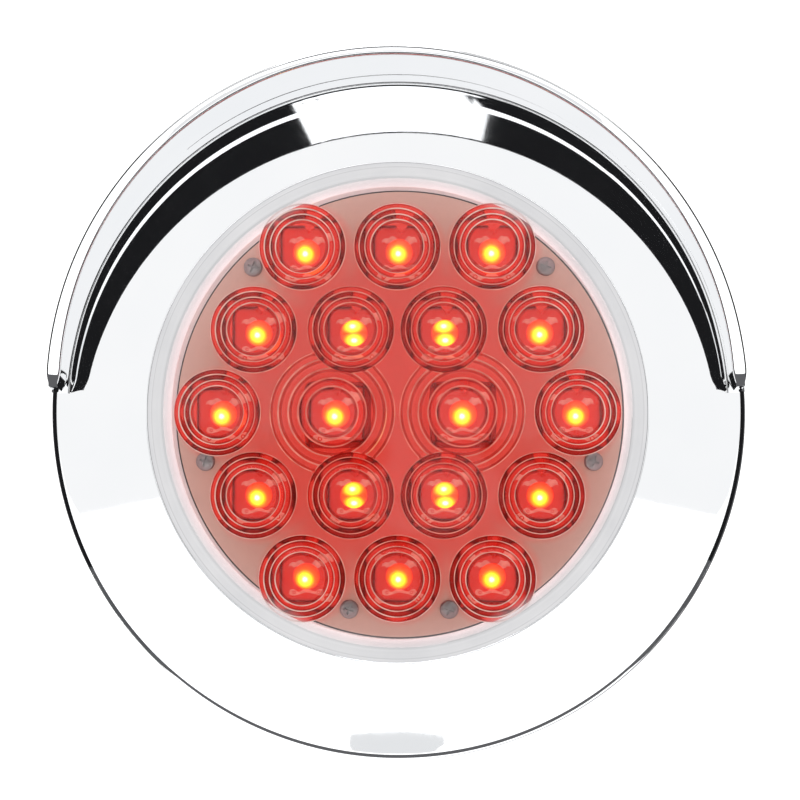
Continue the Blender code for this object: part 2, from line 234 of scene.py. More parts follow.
# ================================================================ materials
class Mat:
    """A node material: a Principled surface with object-space procedural detail."""

    def __init__(self, name):
        self.mat = bpy.data.materials.new(name)
        self.mat.use_nodes = True
        self.nt = self.mat.node_tree
        self.out = self.nt.nodes["Material Output"]
        self.bsdf = self.nt.nodes["Principled BSDF"]
        self.coord = self.nt.nodes.new("ShaderNodeTexCoord")

    def set(self, **kw):
        for k, v in kw.items():
            key = k.replace("_", " ")
            sock = self.bsdf.inputs[key]
            sock.default_value = (*v, 1.0) if isinstance(v, tuple) and len(v) == 3 else v
        return self

    def link(self, a, b):
        self.nt.links.new(a, b)

    def noise(self, scale, detail=4.0, rough=0.55, stretch=None, distort=0.0):
        n = self.nt.nodes.new("ShaderNodeTexNoise")
        n.inputs["Scale"].default_value = scale
        n.inputs["Detail"].default_value = detail
        n.inputs["Roughness"].default_value = rough
        n.inputs["Distortion"].default_value = distort
        src = self.coord.outputs["Object"]
        if stretch:
            m = self.nt.nodes.new("ShaderNodeMapping")
            m.inputs["Scale"].default_value = stretch
            self.link(src, m.inputs["Vector"])
            src = m.outputs["Vector"]
        self.link(src, n.inputs["Vector"])
        return n.outputs["Fac"]

    def voronoi(self, scale, feature="F1"):
        n = self.nt.nodes.new("ShaderNodeTexVoronoi")
        n.feature = feature
        n.inputs["Scale"].default_value = scale
        self.link(self.coord.outputs["Object"], n.inputs["Vector"])
        return n.outputs["Distance"]

    def ramp(self, fac, stops, interp="LINEAR"):
        n = self.nt.nodes.new("ShaderNodeValToRGB")
        n.color_ramp.interpolation = interp
        el = n.color_ramp.elements
        while len(el) < len(stops):
            el.new(0.5)
        for e, (pos, col) in zip(el, stops):
            e.position = pos
            e.color = (*col, 1.0) if len(col) == 3 else (col[0],) * 3 + (1.0,)
        self.link(fac, n.inputs["Fac"])
        return n.outputs["Color"]

    def span(self, fac, lo, hi, f0=0.0, f1=1.0, smooth=False):
        n = self.nt.nodes.new("ShaderNodeMapRange")
        if smooth:
            n.interpolation_type = "SMOOTHSTEP"
        n.inputs["From Min"].default_value = f0
        n.inputs["From Max"].default_value = f1
        n.inputs["To Min"].default_value = lo
        n.inputs["To Max"].default_value = hi
        self.link(fac, n.inputs["Value"])
        return n.outputs["Result"]

    def math(self, op, a, b=None):
        n = self.nt.nodes.new("ShaderNodeMath")
        n.operation = op
        for i, v in enumerate((a, b)):
            if v is None:
                continue
            if isinstance(v, (int, float)):
                n.inputs[i].default_value = v
            else:
                self.link(v, n.inputs[i])
        return n.outputs["Value"]

    def mix(self, fac, a, b, mode="MIX"):
        n = self.nt.nodes.new("ShaderNodeMix")
        n.data_type = "RGBA"
        n.blend_type = mode
        for key, v in (("Factor", fac), ("A", a), ("B", b)):
            sock = next(s for s in n.inputs if s.name == key and s.enabled)
            if isinstance(v, tuple):
                sock.default_value = (*v, 1.0)
            elif isinstance(v, (int, float)):
                sock.default_value = v
            else:
                self.link(v, sock)
        return next(s for s in n.outputs if s.enabled)

    def distance(self, where, scale=(1.0, 1.0, 1.0)):
        """Distance in metres from an object-space point, with the axes scaled."""
        m = self.nt.nodes.new("ShaderNodeMapping")
        m.inputs["Location"].default_value = tuple(-w * s for w, s in zip(where, scale))
        m.inputs["Scale"].default_value = scale
        self.link(self.coord.outputs["Object"], m.inputs["Vector"])
        n = self.nt.nodes.new("ShaderNodeVectorMath")
        n.operation = "LENGTH"
        self.link(m.outputs["Vector"], n.inputs[0])
        return n.outputs["Value"]

    def bump(self, height, strength, distance):
        n = self.nt.nodes.new("ShaderNodeBump")
        n.inputs["Strength"].default_value = strength
        n.inputs["Distance"].default_value = distance
        self.link(height, n.inputs["Height"])
        self.link(n.outputs["Normal"], self.bsdf.inputs["Normal"])
        return n

    def to(self, sock, name):
        self.link(sock, self.bsdf.inputs[name])


def make_chrome():
    m = Mat("chrome_plating").set(Metallic=1.0, Roughness=0.03)
    big = m.noise(38.0, 3.0, 0.5)
    fine = m.noise(900.0, 5.0, 0.6)
    haze = m.noise(140.0, 6.0, 0.65, distort=0.4)
    col = m.ramp(big, [(0.3, (0.905, 0.918, 0.935)), (0.7, (0.935, 0.943, 0.955))])
    m.to(col, "Base Color")
    rough = m.math("ADD", m.span(haze, 0.012, 0.035, 0.35, 0.75), m.span(fine, 0.0, 0.012, 0.4, 0.8))
    m.to(rough, "Roughness")
    m.bump(fine, 0.02, 0.00002)
    return m.mat


def layered(m, surface):
    """Shows surface through a thin reflecting skin."""
    fres = m.nt.nodes.new("ShaderNodeFresnel")
    fres.inputs["IOR"].default_value = 1.3
    gloss = m.nt.nodes.new("ShaderNodeBsdfGlossy")
    m.link(m.span(m.noise(500.0, 4.0), 0.01, 0.05), gloss.inputs["Roughness"])
    mix = m.nt.nodes.new("ShaderNodeMixShader")
    m.link(m.math("MULTIPLY", fres.outputs["Fac"], 0.8), mix.inputs[0])
    m.link(surface, mix.inputs[1])
    m.link(gloss.outputs[0], mix.inputs[2])
    m.link(mix.outputs[0], m.out.inputs["Surface"])


def make_lens():
    m = Mat("clear_polycarbonate")
    d = m.distance((0.0, 0.0, 0.0), (1.0, 0.0, 1.0))
    clear = m.nt.nodes.new("ShaderNodeBsdfTransparent")
    m.link(m.ramp(m.noise(30.0, 3.0), [(0.3, (0.975, 0.978, 0.98)), (0.7, (0.99, 0.992, 0.994))]),
           clear.inputs["Color"])
    # painted glow: an emission ring on the thick wall and flange stands for the light they pipe, so they look milky
    glow = m.nt.nodes.new("ShaderNodeEmission")
    m.link(m.ramp(m.noise(70.0, 4.0, 0.6, distort=0.3), [(0.3, (0.70, 0.70, 0.715)), (0.7, (0.78, 0.775, 0.785))]),
           glow.inputs["Color"])
    mix = m.nt.nodes.new("ShaderNodeMixShader")
    fac = m.ramp(m.span(d, 0.0, 1.0, 0.0455, 0.0520),
                 [(0.0, (0.0,)), (0.22, (0.10,)), (0.42, (0.42,)), (0.5, (0.86,)), (1.0, (0.95,))])
    m.link(fac, mix.inputs[0])
    m.link(clear.outputs[0], mix.inputs[1])
    m.link(glow.outputs[0], mix.inputs[2])
    layered(m, mix.outputs[0])
    return m.mat


def make_optic():
    m = Mat("moulded_optic")
    ref = m.nt.nodes.new("ShaderNodeBsdfRefraction")
    ref.inputs["IOR"].default_value = 1.47
    m.link(m.ramp(m.noise(45.0, 4.0), [(0.3, (0.985, 0.955, 0.95)), (0.7, (0.998, 0.975, 0.97))]),
           ref.inputs["Color"])
    m.link(m.span(m.noise(400.0, 4.0), 0.0, 0.02, 0.4, 0.8), ref.inputs["Roughness"])
    layered(m, ref.outputs[0])
    return m.mat


def make_groove_shade():
    """The low outer part of each Fresnel zone, given a darker red-brown tint as painted shade."""
    m = Mat("optic_groove_shade")
    ref = m.nt.nodes.new("ShaderNodeBsdfRefraction")
    ref.inputs["IOR"].default_value = 1.47
    m.link(m.ramp(m.noise(220.0, 4.0), [(0.3, (0.62, 0.36, 0.33)), (0.7, (0.86, 0.62, 0.58))]),
           ref.inputs["Color"])
    m.link(m.span(m.noise(400.0, 4.0), 0.0, 0.02, 0.4, 0.8), ref.inputs["Roughness"])
    layered(m, ref.outputs[0])
    return m.mat


def make_step_glow():
    """The steep walls of the Fresnel steps, with painted light: an emission glow, redder near the centre, stands for
    the light they scatter.
    """
    m = Mat("optic_step_glow")
    d = m.distance((0.0, 0.0, 0.0), (1.0, 0.0, 1.0))
    n = m.noise(330.0, 4.0, 0.6)
    red_glow_tint = m.ramp(m.span(d, 0.0, 1.0, 0.018, 0.046), [(0.0, (0.80, 0.20, 0.15)), (0.5, (0.82, 0.34, 0.27)),
                                                     (1.0, (0.84, 0.60, 0.53))])
    col = m.mix(0.5, red_glow_tint, m.ramp(n, [(0.3, (0.62, 0.5, 0.48)), (0.7, (1.25, 1.2, 1.15))]), "MULTIPLY")
    glow = m.nt.nodes.new("ShaderNodeEmission")
    m.link(col, glow.inputs["Color"])
    clear = m.nt.nodes.new("ShaderNodeBsdfTransparent")
    m.link(red_glow_tint, clear.inputs["Color"])
    mix = m.nt.nodes.new("ShaderNodeMixShader")
    m.link(m.span(n, 0.6, 1.0, 0.3, 0.55), mix.inputs[0])
    m.link(clear.outputs[0], mix.inputs[1])
    m.link(glow.outputs[0], mix.inputs[2])
    layered(m, mix.outputs[0])
    return m.mat


def make_skirt():
    # painted glow: the skirt's pale pink colour and its emission stand for red LED light caught in it
    m = Mat("frosted_skirt").set(Transmission_Weight=0.25, IOR=1.49)
    m.to(m.ramp(m.noise(60.0, 4.0), [(0.3, (0.88, 0.80, 0.81)), (0.7, (0.95, 0.88, 0.885))]),
         "Base Color")
    m.to(m.span(m.noise(300.0, 4.0), 0.12, 0.3), "Roughness")
    m.bump(m.noise(500.0, 3.0), 0.1, 0.00005)
    m.to(m.ramp(m.noise(35.0, 4.0, 0.6, distort=0.3), [(0.3, (0.80, 0.72, 0.735)), (0.7, (0.92, 0.86, 0.87))]),
         "Emission Color")
    m.set(Emission_Strength=0.36)
    return m.mat


def make_board():
    m = Mat("solder_mask_painted_red_light")
    d = m.distance((0.0, 0.0, 0.0), (1.0, 0.0, 1.0))
    grain = m.noise(900.0, 5.0, 0.6)
    lines = m.voronoi(260.0, "DISTANCE_TO_EDGE")
    # painted light and shade: saturated red near the centre, where the LEDs' light falls, duller beige-pink towards the
    # shaded edge
    base = m.ramp(m.span(d, 0.0, 1.0, 0.018, 0.047),
                  [(0.0, (0.70, 0.052, 0.034)), (0.42, (0.62, 0.080, 0.058)), (0.72, (0.46, 0.23, 0.18)),
                   (1.0, (0.50, 0.34, 0.29))])
    # red light thrown by each lit LED on the board round it
    near = None
    for x, z, big in CELLS:
        q = m.distance((x * MM, 0.0, z * MM), (1.0, 0.0, 1.0))
        near = q if near is None else m.math("MINIMUM", near, q)
    wob = m.math("ADD", near, m.span(m.noise(120.0, 3.0), -0.0008, 0.0008))
    red = m.ramp(m.span(wob, 0.0, 1.0, 0.0045, 0.0108), [(0.0, (1.0,)), (0.4, (0.7,)), (1.0, (0.0,))])
    base = m.mix(red, base, (0.70, 0.052, 0.034))
    trace = m.span(lines, 0.86, 1.0, 0.0, 0.06)
    base = m.mix(1.0, base, m.ramp(trace, [(0.0, (0.84, 0.8, 0.8)), (1.0, (1.0, 1.0, 1.0))]), "MULTIPLY")
    base = m.mix(0.25, base, m.ramp(grain, [(0.35, (0.8, 0.8, 0.8)), (0.65, (1.0, 1.0, 1.0))]), "MULTIPLY")
    m.to(base, "Base Color")
    # painted glow: the board also glows in its own colour
    m.to(base, "Emission Color")
    m.set(Emission_Strength=0.5)
    m.to(m.span(grain, 0.45, 0.65), "Roughness")
    m.bump(trace, 0.25, 0.00004)
    return m.mat


def make_led():
    m = Mat("red_epoxy").set(IOR=1.5)
    grain = m.noise(700.0, 5.0, 0.6)
    # each LED mesh sits at its own origin, so the body's edge is found from object space
    sep = m.nt.nodes.new("ShaderNodeSeparateXYZ")
    m.link(m.coord.outputs["Object"], sep.inputs[0])
    edge = m.math("MAXIMUM", m.math("ABSOLUTE", sep.outputs["X"]), m.math("ABSOLUTE", sep.outputs["Z"]))
    edge = m.math("ADD", edge, m.span(m.noise(500.0, 3.0), -0.00022, 0.00022))
    # painted shade: the colour darkens to a dark band just inside the body's edge, at its chamfer
    col = m.ramp(m.span(edge, 0.0, 1.0, 0.0010, 0.0042),
                 [(0.0, (0.62, 0.028, 0.016)), (0.66, (0.54, 0.020, 0.012)), (0.76, (0.40, 0.012, 0.008)),
                  (0.82, (0.10, 0.004, 0.003)), (0.90, (0.34, 0.014, 0.010)), (1.0, (0.30, 0.02, 0.014))])
    col = m.mix(0.5, col, m.ramp(grain, [(0.3, (0.8, 0.7, 0.7)), (0.7, (1.0, 1.0, 1.0))]), "MULTIPLY")
    m.to(col, "Base Color")
    m.to(col, "Emission Color")
    m.set(Emission_Strength=0.62, Specular_IOR_Level=0.2)
    m.to(m.span(grain, 0.15, 0.3), "Roughness")
    m.bump(grain, 0.05, 0.00003)
    return m.mat


def make_led_dome(two=False):
    m = Mat("lit_dome_two" if two else "lit_dome").set(IOR=1.5, Specular_IOR_Level=0.2)
    core = m.distance((-0.0001, LED_TOP_Y - 0.0016, -0.0004), (1.0, 0.4, 1.0))
    if two:
        low = m.distance((0.0001, LED_TOP_Y - 0.0014, -0.0012), (0.9, 0.4, 1.2))
        high = m.distance((-0.0001, LED_TOP_Y - 0.0014, 0.0009), (0.9, 0.4, 1.2))
        core = m.math("MINIMUM", low, high)
    glow = m.span(core, 0.0, 1.0, 0.0, 0.0024)
    wob = m.noise(900.0, 3.0)
    glow = m.math("ADD", glow, m.span(wob, -0.05, 0.05))
    col = m.ramp(glow, [(0.0, (1.0, 0.86, 0.42)), (0.22, (1.0, 0.66, 0.05)), (0.45, (1.0, 0.42, 0.01)),
                        (0.62, (0.92, 0.10, 0.015)), (1.0, (0.78, 0.035, 0.018))])
    m.to(col, "Base Color")
    m.to(col, "Emission Color")
    m.to(m.ramp(glow, [(0.0, (1.0,)), (0.25, (0.45,)), (0.5, (0.28,)), (1.0, (0.16,))]), "Emission Strength")
    # the ramp's value is scaled to the glow's real brightness
    scale = m.nt.nodes.new("ShaderNodeMath")
    scale.operation = "MULTIPLY"
    scale.inputs[1].default_value = 5.0
    src = m.bsdf.inputs["Emission Strength"].links[0].from_socket
    m.link(src, scale.inputs[0])
    m.link(scale.outputs[0], m.bsdf.inputs["Emission Strength"])
    m.to(m.span(wob, 0.04, 0.12), "Roughness")
    return m.mat


def make_frame_metal():
    m = Mat("lead_frame").set(Metallic=0.2, IOR=1.5)
    grain = m.noise(1200.0, 4.0)
    col = m.ramp(grain, [(0.3, (0.58, 0.10, 0.075)), (0.7, (0.68, 0.20, 0.15))])
    m.to(col, "Base Color")
    # painted glow: the lead frames glow through their emission, standing for the LED's red light on them
    m.to(col, "Emission Color")
    m.set(Emission_Strength=0.5)
    m.to(m.span(grain, 0.25, 0.5), "Roughness")
    return m.mat


def make_plastic(name, dark, light, rough=(0.35, 0.55), grain=900.0, depth=0.12, coat=0.0):
    m = Mat(name).set(IOR=1.5)
    if coat:
        m.set(Coat_Weight=coat, Coat_Roughness=0.15)
    big = m.noise(25.0, 4.0)
    fine = m.noise(grain, 6.0, 0.65)
    col = m.ramp(big, [(0.3, dark), (0.72, light)])
    col = m.mix(0.35, col, m.ramp(fine, [(0.3, (0.7, 0.7, 0.7)), (0.7, (1.0, 1.0, 1.0))]), "MULTIPLY")
    m.to(col, "Base Color")
    m.to(m.span(fine, rough[0], rough[1], 0.3, 0.7), "Roughness")
    m.bump(fine, depth, 0.00008)
    return m.mat


def make_rubber():
    m = Mat("moulded_rubber").set(IOR=1.5, Sheen_Weight=0.15, Sheen_Roughness=0.5)
    fine = m.noise(1400.0, 6.0, 0.7)
    dust = m.noise(90.0, 6.0, 0.6, distort=0.5)
    col = m.ramp(dust, [(0.42, (0.012, 0.012, 0.013)), (0.75, (0.034, 0.034, 0.035))])
    m.to(col, "Base Color")
    m.to(m.span(dust, 0.52, 0.8, 0.3, 0.8), "Roughness")
    m.bump(fine, 0.22, 0.0001)
    return m.mat


def make_metal(name, a, b, rough=(0.18, 0.4), streak=(1.0, 1.0, 1.0), scale=500.0):
    m = Mat(name).set(Metallic=1.0)
    n1 = m.noise(scale, 5.0, 0.6, stretch=streak)
    n2 = m.noise(80.0, 5.0, 0.6)
    m.to(m.ramp(n2, [(0.3, a), (0.7, b)]), "Base Color")
    m.to(m.span(n1, rough[0], rough[1], 0.3, 0.7), "Roughness")
    m.bump(n1, 0.08, 0.00004)
    return m.mat


# ================================================================ sizes shared with the CAD
LED_TOP_F = -0.5
LED_TOP_Y = -LED_TOP_F * MM
ROW_Z = 17.07
CELLS = []
for row, xs in ((2, (-19.55, 0.0, 19.55)), (1, (-29.6, -9.57, 9.57, 29.6)),
                (0, (-37.1, -13.37, 13.37, 37.1)), (-1, (-29.6, -9.57, 9.57, 29.6)),
                (-2, (-19.55, 0.0, 19.55))):
    for x in xs:
        CELLS.append((x, row * ROW_Z, row == 0 and abs(x) < 20.0))
SCREWS = ((-30.8, 31.0), (30.8, 31.0), (-40.8, -10.0), (40.8, -10.0), (-10.5, -41.0), (10.5, -41.0))

CHROME = make_chrome()
LENS = make_lens()
OPTIC = make_optic()
SKIRT = make_skirt()
BOARD = make_board()
LED = make_led()
DOME = make_led_dome()
DOME2 = make_led_dome(True)
STEP = make_step_glow()
GROOVE_SHADE = make_groove_shade()
LEAD = make_frame_metal()
TIN = make_metal("tinned_leg", (0.62, 0.62, 0.60), (0.78, 0.77, 0.74))
BLACK_ABS = make_plastic("moulded_abs", (0.018, 0.018, 0.019), (0.036, 0.036, 0.038), (0.3, 0.5), 700.0)
HOUSING = make_plastic("housing_plastic", (0.055, 0.055, 0.058), (0.095, 0.095, 0.10), (0.32, 0.52), 800.0)
RUBBER = make_rubber()
SEAL = make_plastic("silicone", (0.26, 0.27, 0.28), (0.36, 0.37, 0.38), (0.45, 0.7), 600.0)
EPOXY = make_plastic("potting_epoxy", (0.012, 0.012, 0.012), (0.03, 0.03, 0.031), (0.12, 0.3), 200.0, 0.3, 0.4)
CHIP = make_plastic("film_resistor", (0.03, 0.03, 0.036), (0.06, 0.06, 0.07), (0.25, 0.45), 900.0)
DIODE = make_plastic("diode_moulding", (0.025, 0.025, 0.026), (0.05, 0.05, 0.052), (0.35, 0.6), 900.0)
BRASS = make_metal("plated_pin", (0.72, 0.56, 0.30), (0.84, 0.70, 0.42), (0.14, 0.32), (1.0, 0.15, 1.0), 900.0)
STEEL = make_metal("zinc_screw", (0.30, 0.30, 0.30), (0.42, 0.42, 0.43), (0.28, 0.5))

# ================================================================ bezel and visor
BEZ_N = 360
A_FOOT = math.radians(3.3)


def face_profile(t_main=6.6):
    """(radius, forward) down the face from its opening, without the edge."""
    pts = [(51.1, 8.2), (51.1, 11.3)]
    rad = 0.32
    c_r, c_f = 51.1 + rad, 12.55 - rad
    pts[-1] = (51.1, c_f - 0.15)
    for k in range(0, 9):
        q = math.radians(180.0 - (90.0 + t_main) * k / 8)
        pts.append((c_r + rad * math.cos(q), c_f + rad * math.sin(q)))
    r, f = pts[-1]
    for step in (0.05, 0.15):
        r += step
        f -= step * math.tan(math.radians(t_main))
        pts.append((r, f))
    while r < 64.6:
        r2 = min(r + 1.4, 64.8)
        f -= (r2 - r) * math.tan(math.radians(t_main))
        r = r2
        pts.append((r, f))
    return pts


T_LOW, T_UP = 7.2, 5.9
N_FACE = len(face_profile())


def smooth01(x):
    x = min(1.0, max(0.0, x))
    return x * x * (3 - 2 * x)


def upness(a):
    """0 in the lower half, 1 in the upper half, with a soft change near the horizontal."""
    s = math.sin(a)
    return smooth01((s + 0.28) / 0.5)


def column_common_a(a):
    t = T_LOW + (T_UP - T_LOW) * upness(a)
    return face_profile(t)


SKIRT_PTS = [(71.5, 5.2), (71.85, 2.7), (72.07, 1.2)]
REAR_PTS = [(72.1, 0.8), (72.0, 0.58), (71.8, 0.5), (70.4, 0.5), (70.1, 0.65), (69.85, 1.6),
            (69.2, 4.7), (68.5, 7.8), (68.1, 8.3), (67.5, 8.55), (64.0, 9.3), (58.0, 9.85),
            (54.0, 10.1), (53.5, 10.0), (53.3, 9.6), (53.3, 8.2), (53.1, 7.9), (52.8, 7.8),
            (51.6, 7.8), (51.25, 7.9)]


def edge_column(a):
    """Lower half: face edge and the front part of the skirt."""
    t = T_LOW + (T_UP - T_LOW) * upness(a)
    r, f = column_common_a(a)[-1]
    r2 = 69.8
    f2 = f - (r2 - r) * math.tan(math.radians(t))
    pts = []
    for k in range(1, 5):
        q = k / 4
        pts.append((r + (r2 - r) * q, f + (f2 - f) * q))
    rho = 1.7
    c_r, c_f = r2 - rho * math.sin(math.radians(t)), f2 - rho * math.cos(math.radians(t))
    for k in range(1, 11):
        q = math.radians(t + (79.3 - t) * k / 10)
        pts.append((c_r + rho * math.sin(q), c_f + rho * math.cos(q)))
    r3, f3 = pts[-1]
    for k in range(1, 4):
        q = k / 4
        pts.append((r3 + (SKIRT_PTS[0][0] - r3) * q, f3 + (SKIRT_PTS[0][1] - f3) * q))
    return pts


TOP_F, TIP_F, TIP_Z = 45.5, 22.5, 4.8
R_IN_ROOT, R_IN_LIP = 67.8, 68.5
R_OUT_ROOT, R_OUT_LIP = 71.2, 70.3
FRONT_SLOPE = (TOP_F - TIP_F) / (R_OUT_LIP - TIP_Z)


def lip_f(a, r):
    return TIP_F + (r * math.sin(a) - TIP_Z) * FRONT_SLOPE


CREASE = 0.037


def inner_visor(a, n=26):
    """(radius, forward) up the inside of the hood from above its fillet to its lip."""
    f0 = 13.4
    fl = lip_f(a, R_IN_LIP) - 0.75
    depth = fl - f0
    slope = (R_IN_LIP - R_IN_ROOT) / (TOP_F - f0)
    mid = 0.163 + 0.09 * math.sin(a)
    c0, c1 = mid - CREASE, mid + CREASE
    ss = sorted(set([k / n for k in range(n + 1)] + [c0 - 0.012, c0, c1, c1 + 0.012]))
    dip = depth * (c1 - c0) * math.tan(math.radians(3.4))
    pts = []
    for s in ss:
        f = f0 + depth * s
        r = R_IN_ROOT + slope * (f - f0)
        if s <= c0:
            r += dip * 0.5 * s / c0
        elif s <= c1:
            r += dip * (0.5 - (s - c0) / (c1 - c0))
        else:
            r -= dip * 0.5 * (1 - s) / (1 - c1)
        pts.append([r, f])
    return pts


def hood_column(a):
    """Upper half: fillet, inside of the hood, lip and outside of the hood."""
    r0, f0 = column_common_a(a)[-1]
    pts = []
    r, f = r0, f0
    # the face flattens towards the corner
    for k in range(1, 7):
        q = k / 6
        t = T_UP + (5.0 - T_UP) * q
        step = (67.58 - r0) / 6
        f -= step * math.tan(math.radians(t))
        r += step
        pts.append((r, f))
    # corner fillet
    rho = 0.18
    lean = math.degrees(math.atan((R_IN_LIP - R_IN_ROOT) / (TOP_F - 13.4)))
    c_r = r - rho * math.sin(math.radians(-3.0))
    c_f = f + rho * math.cos(math.radians(3.0))
    shift = (R_IN_ROOT - 0.02) - (c_r + rho)
    for k in range(1, 9):
        q = math.radians(3.0 - (90.0 + 3.0 - lean) * k / 8)
        w = k / 8
        pts.append((c_r - rho * math.sin(q) + shift * w, c_f - rho * math.cos(q)))
    inner = inner_visor(a)
    pts += [tuple(p) for p in inner]
    # lip: inner round, flat front, outer round
    ri, fi = inner[-1]
    tilt = FRONT_SLOPE * math.sin(a)
    ro = R_OUT_LIP + (R_OUT_ROOT - R_OUT_LIP) * (TOP_F - lip_f(a, R_OUT_LIP)) / (TOP_F - 5.2)
    fo = lip_f(a, ro) - 0.55
    for k in range(1, 6):
        q = math.radians(90.0 * k / 5)
        pts.append((ri + 0.5 * (1 - math.cos(q)), fi + 0.75 * math.sin(q) + tilt * 0.5 * (1 - math.cos(q))))
    pts.append((0.5 * (ri + 0.5 + ro - 0.5), 0.5 * (pts[-1][1] + lip_f(a, ro - 0.5))))
    for k in range(0, 6):
        q = math.radians(90.0 * k / 5)
        pts.append((ro - 0.5 * (1 - math.sin(q)), fo + 0.55 * math.cos(q) - tilt * 0.5 * (1 - math.sin(q)) * 0))
    n = 20
    for k in range(1, n):
        f = fo + (SKIRT_PTS[0][1] - fo) * k / n
        r = R_OUT_ROOT + (R_OUT_LIP - R_OUT_ROOT) * (f - 5.2) / (TOP_F - 5.2)
        r += 0.3 * max(0.0, 1.0 - (f - 5.2) / 3.0) ** 2
        pts.append((r, f))
    return pts


def hood_angle(u, f):
    """Angle of a hood column, whose two ends slant back to the foot."""
    a0 = A_FOOT + math.radians(0.75) * smooth01((f - 11.5) / 11.0)
    return a0 + u * (math.pi - 2 * a0)


def build_bezel():
    up_n, low_n = 200, 168
    verts, faces = [], []

    def add(r, f, a):
        verts.append(point(r, f, a))
        return len(verts) - 1

    up_us = [0.5 - 0.5 * math.cos(math.pi * k / up_n) * 1.0 for k in range(up_n + 1)]
    up_us = [0.55 * u + 0.45 * k / up_n for k, u in enumerate(up_us)]
    up_as = [A_FOOT + u * (math.pi - 2 * A_FOOT) for u in up_us]
    low_as = [math.pi - A_FOOT + (math.pi + 2 * A_FOOT) * k / low_n for k in range(low_n + 1)]
    cols = [("up", a) for a in up_as] + [("low", a) for a in low_as[1:-1]]
    common_a, common_c = [], []
    for kind, a in cols:
        common_a.append([add(r, f, a) for r, f in column_common_a(a)])
        common_c.append([add(r, f, a) for r, f in SKIRT_PTS + REAR_PTS])
    total = len(cols)
    for k in range(total):
        j = (k + 1) % total
        for row in (common_a, common_c):
            p, q = row[k], row[j]
            for i in range(len(p) - 1):
                faces.append((p[i], q[i], q[i + 1], p[i + 1]))
        faces.append((common_c[k][-1], common_c[j][-1], common_a[j][0], common_a[k][0]))
    # hood strip
    n_end = 7
    hood = []
    for k, u in enumerate(up_us):
        a_mid = A_FOOT + u * (math.pi - 2 * A_FOOT)
        pts = hood_column(a_mid)
        end = min(k, up_n - k)
        if end < n_end:
            q = math.radians(90.0 * (n_end - end) / n_end)
            inset = 0.75 * (1 - math.cos(q))
            arr = np.array(pts)
            tg = np.gradient(arr, axis=0)
            tg /= np.linalg.norm(tg, axis=1)[:, None]
            nm = np.stack([-tg[:, 1], tg[:, 0]], 1)
            w = np.array([smooth01((f - 12.6) / 1.6) for r, f in pts])
            arr = arr + nm * (inset * w)[:, None] * -1.0
            pts = [tuple(p) for p in arr]
        hood.append([add(r, f, hood_angle(u, f)) for r, f in pts])
    for k in range(up_n):
        p = [common_a[k][-1]] + hood[k] + [common_c[k][0]]
        q = [common_a[k + 1][-1]] + hood[k + 1] + [common_c[k + 1][0]]
        for i in range(len(p) - 1):
            faces.append((p[i], q[i], q[i + 1], p[i + 1]))
    # edge strip of the lower half, with the two boundary columns
    low_cols = [up_n] + list(range(up_n + 1, total)) + [0]
    low_edges = []
    for idx, col in enumerate(low_cols):
        a = low_as[idx]
        low_edges.append([add(r, f, a) for r, f in edge_column(a)])
    for k in range(len(low_cols) - 1):
        p = [common_a[low_cols[k]][-1]] + low_edges[k] + [common_c[low_cols[k]][0]]
        q = [common_a[low_cols[k + 1]][-1]] + low_edges[k + 1] + [common_c[low_cols[k + 1]][0]]
        for i in range(len(p) - 1):
            faces.append((p[i], q[i], q[i + 1], p[i + 1]))
    # end walls of the hood
    for hood_col, edge_col, col in ((hood[0], low_edges[-1], 0), (hood[-1], low_edges[0], up_n)):
        loop = [common_a[col][-1]] + hood_col + [common_c[col][0]] + list(reversed(edge_col))
        faces.append(tuple(loop))
    mesh = bpy.data.meshes.new("bezel_visor_fine")
    mesh.from_pydata(verts, [], faces)
    bm = bmesh.new()
    bm.from_mesh(mesh)
    big = [f for f in bm.faces if len(f.verts) > 8]
    bmesh.ops.triangulate(bm, faces=big, ngon_method="EAR_CLIP")
    bmesh.ops.recalc_face_normals(bm, faces=bm.faces)
    bm.to_mesh(mesh)
    bm.free()
    mesh.materials.append(CHROME)
    mesh.shade_smooth()
    mesh.set_sharp_from_angle(angle=math.radians(40.0))
    ob = bpy.data.objects.new("bezel_visor_fine", mesh)
    scene.collection.objects.link(ob)
    return ob


bezel = build_bezel()
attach(bezel, "bezel")
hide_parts("bezel_visor")


def finish_piece(ob, body, slot, *nodes):
    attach(ob, body)
    if nodes:
        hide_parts(*nodes)
    return ob


# ================================================================ claw ring
def build_claw_ring():
    segs = 480
    gap_half = [math.asin(4.5 / 67.4)]
    verts, faces = [], []
    web = rounded([(53.7, 6.3), (53.7, 9.3), (54.9, 9.3), (55.3, 8.9), (55.3, 7.5), (66.6, 7.5),
                   (67.2, 7.0), (67.9, 6.2), (66.9, 6.2)], 0.2, 3)
    v, f = lathe_data(web, 240)
    parts = [(v, f)]
    for k in range(12):
        a0 = math.tau * k / 12 + gap_half[0] - math.tau / 24
        a0 = math.tau * (k + 0.5) / 12 + gap_half[0]
        a1 = math.tau * (k + 1.5) / 12 - gap_half[0]
        prof = rounded([(66.95, 6.4), (66.95, 1.3), (67.5, 0.95), (67.85, 1.25), (67.85, 6.4)], 0.15, 3)
        n = 16
        vv, ff = [], []
        m = len(prof)
        for i in range(n + 1):
            a = a0 + (a1 - a0) * i / n
            for r, fw in prof:
                vv.append(point(r, fw, a))
        for i in range(n):
            for j in range(m):
                jj = (j + 1) % m
                ff.append((i * m + j, (i + 1) * m + j, (i + 1) * m + jj, i * m + jj))
        ff.append(tuple(range(m)))
        ff.append(tuple(n * m + j for j in reversed(range(m))))
        parts.append((vv, ff))
    return merged("claw_ring_fine", parts, [BLACK_ABS])


finish_piece(build_claw_ring(), "retainer", "black_abs", "claw_ring")

